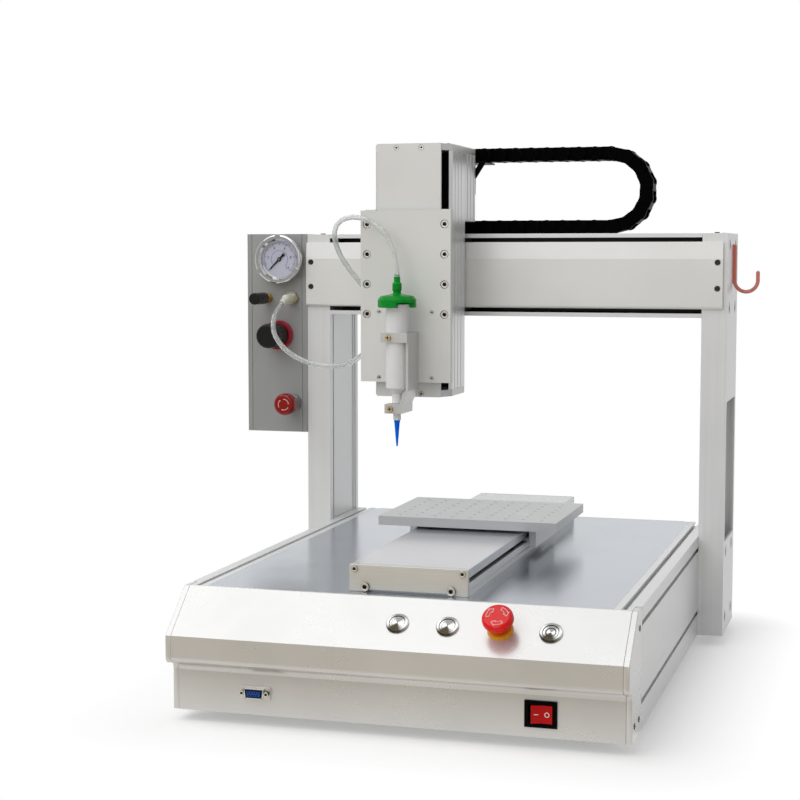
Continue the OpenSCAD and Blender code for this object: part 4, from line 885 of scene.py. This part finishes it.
class ROBOT_OT_stage(bpy.types.Operator):
    """Camera, floor, soft lights and a white world"""
    bl_idname = "robot.stage"
    bl_label = "Stage"

    def execute(self, context):
        scene = context.scene
        scene.view_settings.view_transform = "Standard"
        camera = bpy.data.objects.new("camera", bpy.data.cameras.new("camera"))
        camera.location = CAMERA_AT
        camera.rotation_euler = CAMERA_TURN
        camera.data.lens = CAMERA_LENS
        camera.data.sensor_width = CAMERA_SENSOR
        scene.collection.objects.link(camera)
        scene.camera = camera
        self.floor()
        self.world(scene)
        for lamp in LAMPS:
            self.lamp(*lamp)
        return {"FINISHED"}

    def floor(self):
        """White disc: shaded close to the base, warm where it lights the front and duller in mirrors there."""
        bm = bmesh.new()
        bmesh.ops.create_circle(bm, cap_ends=True, segments=96, radius=9.0)
        obj = loose("floor", as_mesh(outward(bm), "floor", False))
        f = Finish("floor_white")

        def matt(color):
            return f.node("ShaderNodeBsdfDiffuse", None, {"Color": color})

        def bright(color, strength=1.0):
            return f.node("ShaderNodeEmission", None, {"Color": color, "Strength": strength})

        def mixed(factor, one, two):
            return f.node("ShaderNodeMixShader", None, {0: factor, 1: one, 2: two})

        x, y, _ = f.axes()
        glossy, seen = f.rays()
        beside = (x.size() - FOOT_HALF_WIDTH).most(0)
        before = ((y - FOOT_MIDDLE).size() - FOOT_HALF_DEPTH).most(0)
        far = f.step((beside * beside + before * before).root(), 0.01, 0.11)
        warm = f.step(y, -0.28, -0.4) * f.step(x * x + y * y, 1.0, 0.5)
        fade = f.tint(f.step(y, -0.48, -0.325), (0.52, 0.475, 0.385), (1.0, 0.99, 0.96))
        near = f.node("ShaderNodeAddShader", None,
            {0: matt((0.74, 0.74, 0.74, 1)), 1: bright((1, 1, 1, 1), 0.34)})
        shown = mixed(glossy * (y < -0.2), mixed(far, near, bright((1, 1, 1, 1))), bright(fade))
        both = mixed(seen, matt(f.tint(warm, (0.62, 0.62, 0.62), (0.76, 0.58, 0.36))), shown)
        f.tree.links.new(both.socket, f.tree.nodes["Material Output"].inputs["Surface"])
        obj.data.materials.append(f.material)

    def world(self, scene):
        """White to the camera, dim in front in mirrors, and a soft light that falls off to the right."""
        world = bpy.data.worlds.new("studio")
        world.use_nodes = True
        scene.world = world
        g = Graph(world.node_tree)
        glossy, seen = g.rays()
        way = g.node("ShaderNodeTexCoord", out="Generated")
        parts = g.node("ShaderNodeSeparateXYZ", None, {0: way})
        front = g.step(parts.beside(1), 0.35, -0.35)
        right = g.step(parts.beside(0), -0.5, 0.7)
        shown = g.tint(glossy, (1, 1, 1), g.tint(front, (1, 1, 1), (0.36, 0.36, 0.36)))
        light = g.tint(seen, g.tint(right, (0.46, 0.46, 0.46), (0.24, 0.24, 0.24)), shown)
        world.node_tree.links.new(light.socket, world.node_tree.nodes["Background"].inputs["Color"])

    def lamp(self, name, place, target, size, watts):
        data = bpy.data.lights.new(name, "AREA")
        data.shape = "DISK"
        data.size = size
        data.energy = watts
        obj = bpy.data.objects.new(name, data)
        obj.location = place
        obj.rotation_euler = (Vector(target) - Vector(place)).to_track_quat("-Z", "Y").to_euler()
        bpy.context.scene.collection.objects.link(obj)


class ROBOT_OT_hoses(bpy.types.Operator):
    """Clear air hose, from the outlet to the clip and on to the syringe"""
    bl_idname = "robot.hoses"
    bl_label = "Air hose"

    def execute(self, context):
        # Routes in millimetres; the reach at each end says how far it runs straight on
        low = self.curve(ELBOW, ELBOW + 95 * SPOUT, CLIP - 106 * UP, CLIP - 6 * UP, 60) + [CLIP - UP]
        high = ([CLIP + UP] + self.curve(CLIP + 6 * UP, CLIP + 32 * UP, BULGE - 40 * BULGE_WAY, BULGE, 32)
            + self.curve(BULGE, BULGE + 48 * BULGE_WAY, BARB + 74 * UP, BARB + 5 * UP, 36)[1:] + [BARB])
        piece = self.hose("hose_low", low, "hose_to_carriage")
        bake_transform(piece, "base", "x_axis", mm(*low[0]), mm(*low[-1]))
        piece = self.hose("hose_high", high, "hose_to_syringe")
        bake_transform(piece, "x_axis", "z_axis", mm(*high[0]), mm(*high[-1]))
        return {"FINISHED"}

    def curve(self, a, b, c, d, parts):
        """Points of a smooth route from a to d that leaves towards b and arrives from c."""
        steps = [i / parts for i in range(parts + 1)]
        return [a * (1 - t) ** 3 + b * 3 * t * (1 - t) ** 2 + c * 3 * t * t * (1 - t) + d * t ** 3 for t in steps]

    def hose(self, name, points, node):
        route = [mm(*p) for p in points]
        radius = looks().hose_d / 2
        mesh = self.tube(name, route, radius, radius * HOSE_BORE)
        mesh.materials.append(finish("hose_clear"))
        obj = loose(name, mesh)
        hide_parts(node)
        return obj

    def tube(self, name, route, outer, inner, sides=20):
        """A hollow tube along the route, with lengthways UVs."""
        bm = bmesh.new()
        way = (route[1] - route[0]).normalized()
        side = way.orthogonal().normalized()
        skins = ([], [])
        for i, point in enumerate(route):
            new = (route[min(i + 1, len(route) - 1)] - route[max(i - 1, 0)]).normalized()
            side = (way.rotation_difference(new) @ side).normalized()
            side = (side - new * side.dot(new)).normalized()
            other, way = new.cross(side), new
            for skin, r in zip(skins, (outer, inner)):
                skin.append([bm.verts.new(point + r * (math.cos(TAU * k / sides) * side
                    + math.sin(TAU * k / sides) * other)) for k in range(sides)])
        uv = bm.loops.layers.uv.new("UVMap")
        for skin in skins:
            for i in range(len(route) - 1):
                for k in range(sides):
                    n = (k + 1) % sides
                    face = bm.faces.new((skin[i][k], skin[i][n], skin[i + 1][n], skin[i + 1][k]))
                    for loop, (u, v) in zip(face.loops, ((i, k), (i, k + 1), (i + 1, k + 1), (i + 1, k))):
                        loop[uv].uv = (u / len(route), v / sides)
        for end in (0, -1):
            for k in range(sides):
                n = (k + 1) % sides
                bm.faces.new((skins[0][end][k], skins[0][end][n], skins[1][end][n], skins[1][end][k]))
        return as_mesh(outward(bm), name)


class ROBOT_OT_edges(bpy.types.Operator):
    """Plates, profiles and covers with rounded edges, in place of their plain solids"""
    bl_idname = "robot.edges"
    bl_label = "Plates and covers"

    def execute(self, context):
        for node, (finish_name, width) in EDGED.items():
            body = body_of(NODES[node])[0]
            slot = SLOTS[node]
            rounded(add(node + "_edged", as_mesh(merged(node), node, facet), body, finish_name, slot, node), width)
        return {"FINISHED"}


class ROBOT_OT_finishes(bpy.types.Operator):
    """Finish of every solid that stays as it is"""
    bl_idname = "robot.finishes"
    bl_label = "Finishes"

    def execute(self, context):
        for node, finish_name in KEPT.items():
            obj = NODES[node]
            if not obj.material_slots:
                obj.data.materials.append(finish(finish_name))
            for slot in obj.material_slots:
                slot.material = finish(finish_name)
        return {"FINISHED"}


class ROBOT_OT_chain(bpy.types.Operator):
    """Drag chain runs, which roll with the X axis, and the bracket of the upper run"""
    bl_idname = "robot.chain"
    bl_label = "Drag chain"

    def execute(self, context):
        first = Vector((CHAIN_X - LOWER_LINKS * PITCH, CHAIN_Y, CHAIN_LOW)) / 1000
        link = self.link(first)
        lower = self.run(link, LOWER_LINKS, Matrix.Translation(first))
        span = mm(LOWER_LINKS * PITCH, 0, 0)
        obj = self.strip("chain_lower", lower, "chain_lower_run")
        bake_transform(obj, "base", "x_axis", first, first + 2 * span)
        turn = Matrix.Translation(mm(CHAIN_X, CHAIN_Y, CHAIN_HIGH)) @ Matrix.Rotation(math.pi, 4, "Y")
        upper = self.run(link, UPPER_LINKS, turn)
        last = mm(CHAIN_X - UPPER_LINKS * PITCH, CHAIN_Y, CHAIN_HIGH)
        obj = self.strip("chain_upper", upper, "chain_upper_run")
        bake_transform(obj, "x_axis", "base", last, last + 2 * mm(UPPER_LINKS * PITCH, 0, 0))
        bpy.data.objects.remove(link)
        self.bracket()
        return {"FINISHED"}

    def link(self, first):
        """One link of the lower run, its first pivot at the origin."""
        bm = merged("chain_lower_run")
        groups = sorted(islands(bm), key=lambda g: min(v.co.x for v in g))
        bmesh.ops.delete(bm, geom=[v for g in groups[1:] for v in g], context="VERTS")
        bmesh.ops.translate(bm, verts=bm.verts, vec=-first)
        return rounded(loose("one_link", as_mesh(bm, "one_link")), 0.3)

    def run(self, link, count, matrix):
        mesh = grown(row_tree(), count=count, pitch=PITCH / 1000, link=link, material=finish("chain_plastic"))
        mesh.transform(matrix)
        return mesh

    def strip(self, name, mesh, node):
        mesh.materials.clear()
        mesh.materials.append(finish("chain_plastic"))
        obj = loose(name, mesh)
        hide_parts(node)
        return obj

    def bracket(self):
        """The bracket alone, without the links of the upper run."""
        bm = merged("chain_upper_run")
        links = [g for g in islands(bm) if min(v.co.z for v in g) > (CHAIN_HIGH - LINK_REACH) / 1000]
        bmesh.ops.delete(bm, geom=[v for g in links for v in g], context="VERTS")
        mesh = as_mesh(bm, "chain_bracket")
        rounded(add("chain_bracket", mesh, "x_axis", "black_plastic", "black_plastic"), 0.4)


class ROBOT_OT_fasteners(bpy.types.Operator):
    """Screws of the plates, covers and caps"""
    bl_idname = "robot.fasteners"
    bl_label = "Screws"

    def execute(self, context):
        plate = [((Z_X + s * 46.5, 96, z), FRONT) for s in BOTH for z in (493, 458.5, 424, 389.5)]
        screws("plate_screws", "z_axis", plate, (4.2, 4.2), (2.5, 3.0))
        pins = [((Z_X + s * 31.6, 93.5, z), FRONT) for s in BOTH for z in (392, 316)]
        screws("plate_pins", "z_axis", pins, (2.2, 2.0), (1.1, 1.4))
        cover = [((Z_X + s * 15, 106.5, z), FRONT) for s in BOTH for z in (581.2, 296.6)]
        screws("cover_screws", "x_axis", cover, (2.8, 1.2), (1.3, 0.9))
        beam = [((x, 191, z), FRONT) for x in (-250.2, 245.2) for z in (449, 419)]
        screws("beam_screws", "base", beam, (3.1, 1.7), (1.6, 1.2), "dark_screw")
        caps = [((s * 241.7, y, 483), TOP) for s in BOTH for y in (212, 286)]
        screws("cap_screws", "base", caps, (3.0, 1.4), (1.6, 1.0))
        ends = [((s * 54.5, -238, 152.2), FRONT) for s in BOTH]
        ends += [((s * 54.5, 296, z), REAR) for s in BOTH for z in (136, 151.5)]
        screws("module_screws", "base", ends, (3.2, 1.6), (1.7, 1.2))
        bolts = [((s * 43.5, -238, 135.0), FRONT) for s in BOTH]
        screws("module_bolts", "base", bolts, (4.4, 3.0), (2.3, 2.2))
        sides = [((s * 227, y, z), (s, 0, 0)) for s in BOTH for y, z in ((-272, 26), (-246, 26), (-246, 112))]
        screws("end_plate_screws", "base", sides, (2.8, 1.0), (1.5, 0.8))
        columns = [((s * 234, y, z), (s, 0, 0)) for s in BOTH for y in (218, 280) for z in (32, 110, 396, 470)]
        screws("column_bolts", "base", columns, (5.0, 5.0), (2.6, 3.0), "dark_screw")
        rear = [((s * x, 304, z), REAR) for s in BOTH for x, z in ((190, 24), (190, 112), (60, 24))]
        screws("rear_screws", "base", rear, (2.6, 1.0), (1.8, 0.7), crossed=True)
        back = [((Z_X + s * 41, 234, z), REAR) for s in BOTH for z in (503.5, 573)]
        screws("motor_cover_screws", "x_axis", back, (2.1, 0.8), (1.1, 0.6))
        top = [((Z_X + s * 39, y, 586), TOP) for s in BOTH for y in (134, 176, 226)]
        screws("z_top_screws", "x_axis", top, (2.8, 1.2), (1.5, 0.9))
        box = [((x, 298, z), REAR) for x in (-326, -266) for z in (248, 474)]
        screws("box_screws", "base", box, (2.5, 1.1), (1.7, 0.7), crossed=True)
        clamp = [((-106.2, 43, 364.5), FRONT), ((-105.4, 48, 283.2), FRONT)]
        screws("clamp_screws", "z_axis", clamp, (3.4, 2.4), (2.4, 1.2), "screw_brass", True)
        jack = [((SOCKET[0] + s * NUT_X, TOE_Y - 2, SOCKET[2]), FRONT) for s in BOTH]
        screws("jack_nuts", "base", jack, (2.5, 4.9), (1.5, 0.85))
        return {"FINISHED"}


class ROBOT_OT_gauge(bpy.types.Operator):
    """Printed dial with its marks and numbers, and the clips of the bezel"""
    bl_idname = "robot.gauge"
    bl_label = "Pressure dial"

    def execute(self, context):
        face = on_box(GAUGE, 9.5)
        bm = bmesh.new()
        band(bm, 0.0013, 0.0226, 0, TAU, 0.0, DIAL_SHEET, face, 64)
        add("dial", as_mesh(outward(bm), "dial", False), "base", "dial_white", "white_enamel")
        count = looks().dial_marks
        self.marks("dial_fine_marks", count, (19.6, 1.6, 0.26), face)
        self.marks("dial_marks", (count - 1) // 5 + 1, (19.0, 2.8, 0.6), face)
        self.marks("dial_inner_marks", (count - 1) // 2 + 1, (11.2, 1.2, 0.3), face)
        bm = bmesh.new()
        half_line = 0.00015
        for radius in (0.0204, 0.0105):
            band(bm, radius - half_line, radius + half_line, DIAL_START + DIAL_SWEEP, DIAL_START,
                DIAL_SHEET, 0.0004, face, 72)
        add("dial_arcs", as_mesh(outward(bm), "dial_arcs", False), "base", "mark_blue", "blue_plastic")
        self.numbers(face)
        clips = grown(arc_tree(), count=3, start=math.radians(90), sweep=math.radians(240), radius=0.0274,
            length=0.0066, width=0.0062, thickness=0.0012, material=finish("chrome"))
        clips.transform(on_box(GAUGE, 17.3))
        rounded(add("bezel_clips", clips, "base", "chrome", "polished_steel"), 0.25)
        return {"FINISHED"}

    def marks(self, name, count, size, face):
        """Marks around the dial; size is radius, length and width in millimetres."""
        radius, length, width = (v / 1000 for v in size)
        mesh = grown(arc_tree(), count=count, start=DIAL_START, sweep=DIAL_SWEEP, radius=radius, length=length,
            width=width, thickness=0.0003, material=finish("mark_blue"))
        mesh.transform(face @ Matrix.Translation(mm(0, 0, 0.3)))
        add(name, mesh, "base", "mark_blue", "blue_plastic")

    def numbers(self, face):
        """Even numbers from 0 to 10 along the scale."""
        bm = bmesh.new()
        radius, last = 0.0149, 5
        for i in range(last + 1):
            angle = DIAL_START + DIAL_SWEEP * i / last
            letters = bpy.data.curves.new("number", "FONT")
            letters.body = str(2 * i)
            letters.size = 0.0044
            letters.align_x = letters.align_y = "CENTER"
            letters.extrude = 0.0001
            mesh = baked(loose("number", letters))
            place = (math.cos(angle) * radius, math.sin(angle) * radius, 0.00035)
            mesh.transform(face @ Matrix.Translation(place))
            bm.from_mesh(mesh)
        add("dial_numbers", as_mesh(bm, "dial_numbers", False), "base", "mark_dark", "black_plastic")


class ROBOT_OT_controls(bpy.types.Operator):
    """Turning arrows on the stop heads, marks on the rocker, and the data socket's insert, rim and painted shade
    in its holes
    """
    bl_idname = "robot.controls"
    bl_label = "Control marks"

    def execute(self, context):
        self.block_arrows()
        self.arcs()
        self.rocker_marks()
        self.data_socket()
        return {"FINISHED"}

    def block_arrows(self):
        """Three outlined arrows around the top of the front stop."""
        bm = bmesh.new()
        face = on_slope(STOP_X, 22)
        for k in range(3):
            start = math.radians(120 * k - 50)
            shaft = [start - 0.8 * i / 8 for i in range(9)]
            outline = [(7.2, a) for a in shaft] + [(5.9, shaft[-1]), (8.8, shaft[-1] - 0.42), (11.7, shaft[-1])]
            outline += [(10.4, a) for a in reversed(shaft)] + [(7.2, start)]
            points = [(r * math.cos(a) / 1000, r * math.sin(a) / 1000) for r, a in outline]
            stroke(bm, points, 0.0005, PRINT, face)
        mesh = as_mesh(outward(bm), "stop_arrows", False)
        add("stop_arrows", mesh, "stop_button", "mark_white", "white_enamel")

    def arcs(self):
        """Three thin arcs with a point each on the second stop."""
        bm = bmesh.new()
        face = on_box(BOX_STOP, 35)
        for k in range(3):
            start = TAU * k / 3 + 0.35
            band(bm, 0.0062, 0.0071, start, start + 1.25, 0.0, PRINT, face, 14)
            point = ((0.0055, start), (0.00665, start - 0.28), (0.0078, start))
            prism(bm, [(r * math.cos(a), r * math.sin(a)) for r, a in point], 0.0, PRINT, face)
        mesh = as_mesh(outward(bm), "box_stop_arcs", False)
        add("box_stop_arcs", mesh, "box_stop_button", "mark_pink", "white_enamel")

    def rocker_marks(self):
        """A dash on one half of the rocker and a ring on the other."""
        bm = bmesh.new()
        base = Matrix.Translation(mm(*SWITCH)) @ Matrix.Rotation(math.radians(7), 4, "Z")
        lean = math.atan2(2, 10)
        for side in BOTH:
            face = (base @ Matrix.Translation(mm(side * 5.0, -8.6, 0)) @ Matrix.Rotation(side * -lean, 4, "Z")
                @ Matrix.Rotation(math.pi / 2, 4, "X"))
            if side < 0:
                stroke(bm, [(-0.0017, 0.0), (0.0017, 0.0)], 0.0007, ROCKER_PRINT, face)
            else:
                band(bm, 0.0017, 0.0024, 0, TAU, 0, ROCKER_PRINT, face, 28)
        mesh = as_mesh(outward(bm), "rocker_marks", False)
        add("rocker_marks", mesh, "switch_paddle", "mark_white", "white_enamel")

    def data_socket(self):
        """Blue insert in the socket's shell with two rows of dark discs painted as shade in its contact holes, a
        bright rim, and dark discs painted as shade in the bores of its nuts.
        """
        bm = bmesh.new()
        outline = [(-0.0072, -0.0032), (0.0058, -0.0032), (0.0066, 0.0022), (-0.0080, 0.0022)]
        prism(bm, outline, 0.004, 0.0062, facing(*SOCKET))
        add("socket_insert", as_mesh(outward(bm), "socket_insert", False), "base", "insert_blue", "blue_plastic")
        pitch, middle = 2.6, -0.7
        rows = [((i - 2) * pitch + middle, 0.75) for i in range(5)]
        rows += [((i - 1.5) * pitch + middle, -1.85) for i in range(4)]
        # Dark discs on the insert's face: painted shade in the contact holes
        places = [((SOCKET[0] + x, TOE_Y - 6.2, SOCKET[2] + z), FRONT) for x, z in rows]
        screws("socket_contacts", "base", places, (0.95, 0.2), (0.3, 0.1), "mark_dark")
        rim = bmesh.new()
        dee = [(-0.0086, -0.0047), (0.0086, -0.0047), (0.0100, 0.0047), (-0.0100, 0.0047), (-0.0086, -0.0047)]
        stroke(rim, dee, 0.0008, 0.0048, facing(*SOCKET) @ Matrix.Translation((0, 0, 0.002)))
        add("socket_rim", as_mesh(outward(rim), "socket_rim", False), "base", "bright_rim", "rail_steel")
        # Dark discs on the floor of each nut's recess: painted shade in its bore
        bores = [((SOCKET[0] + s * NUT_X, TOE_Y - 6.02, SOCKET[2]), FRONT) for s in BOTH]
        screws("nut_bores", "base", bores, (1.2, 0.2), (0.4, 0.1), "mark_dark")


class ROBOT_PT_looks(bpy.types.Panel):
    """Settings and steps of the robot's looks"""
    bl_idname = "ROBOT_PT_looks"
    bl_label = "Dispensing robot"
    bl_space_type = "VIEW_3D"
    bl_region_type = "UI"
    bl_category = "Robot"

    def draw(self, context):
        for name in RobotLooks.__annotations__:
            self.layout.prop(context.scene.robot_looks, name)
        for step in STEPS:
            self.layout.operator(step.bl_idname)


STEPS = (ROBOT_OT_stage, ROBOT_OT_hoses, ROBOT_OT_edges, ROBOT_OT_finishes, ROBOT_OT_chain, ROBOT_OT_fasteners,
    ROBOT_OT_gauge, ROBOT_OT_controls)
CLASSES = (RobotLooks, *STEPS, ROBOT_PT_looks)


def register():
    for cls in CLASSES:
        bpy.utils.register_class(cls)
    bpy.types.Scene.robot_looks = PointerProperty(type=RobotLooks)


def unregister():
    del bpy.types.Scene.robot_looks
    for cls in reversed(CLASSES):
        bpy.utils.unregister_class(cls)


def main():
    register()
    for step in STEPS:
        getattr(bpy.ops.robot, step.bl_idname.split(".")[1])()


if __name__ == "__main__":
    main()
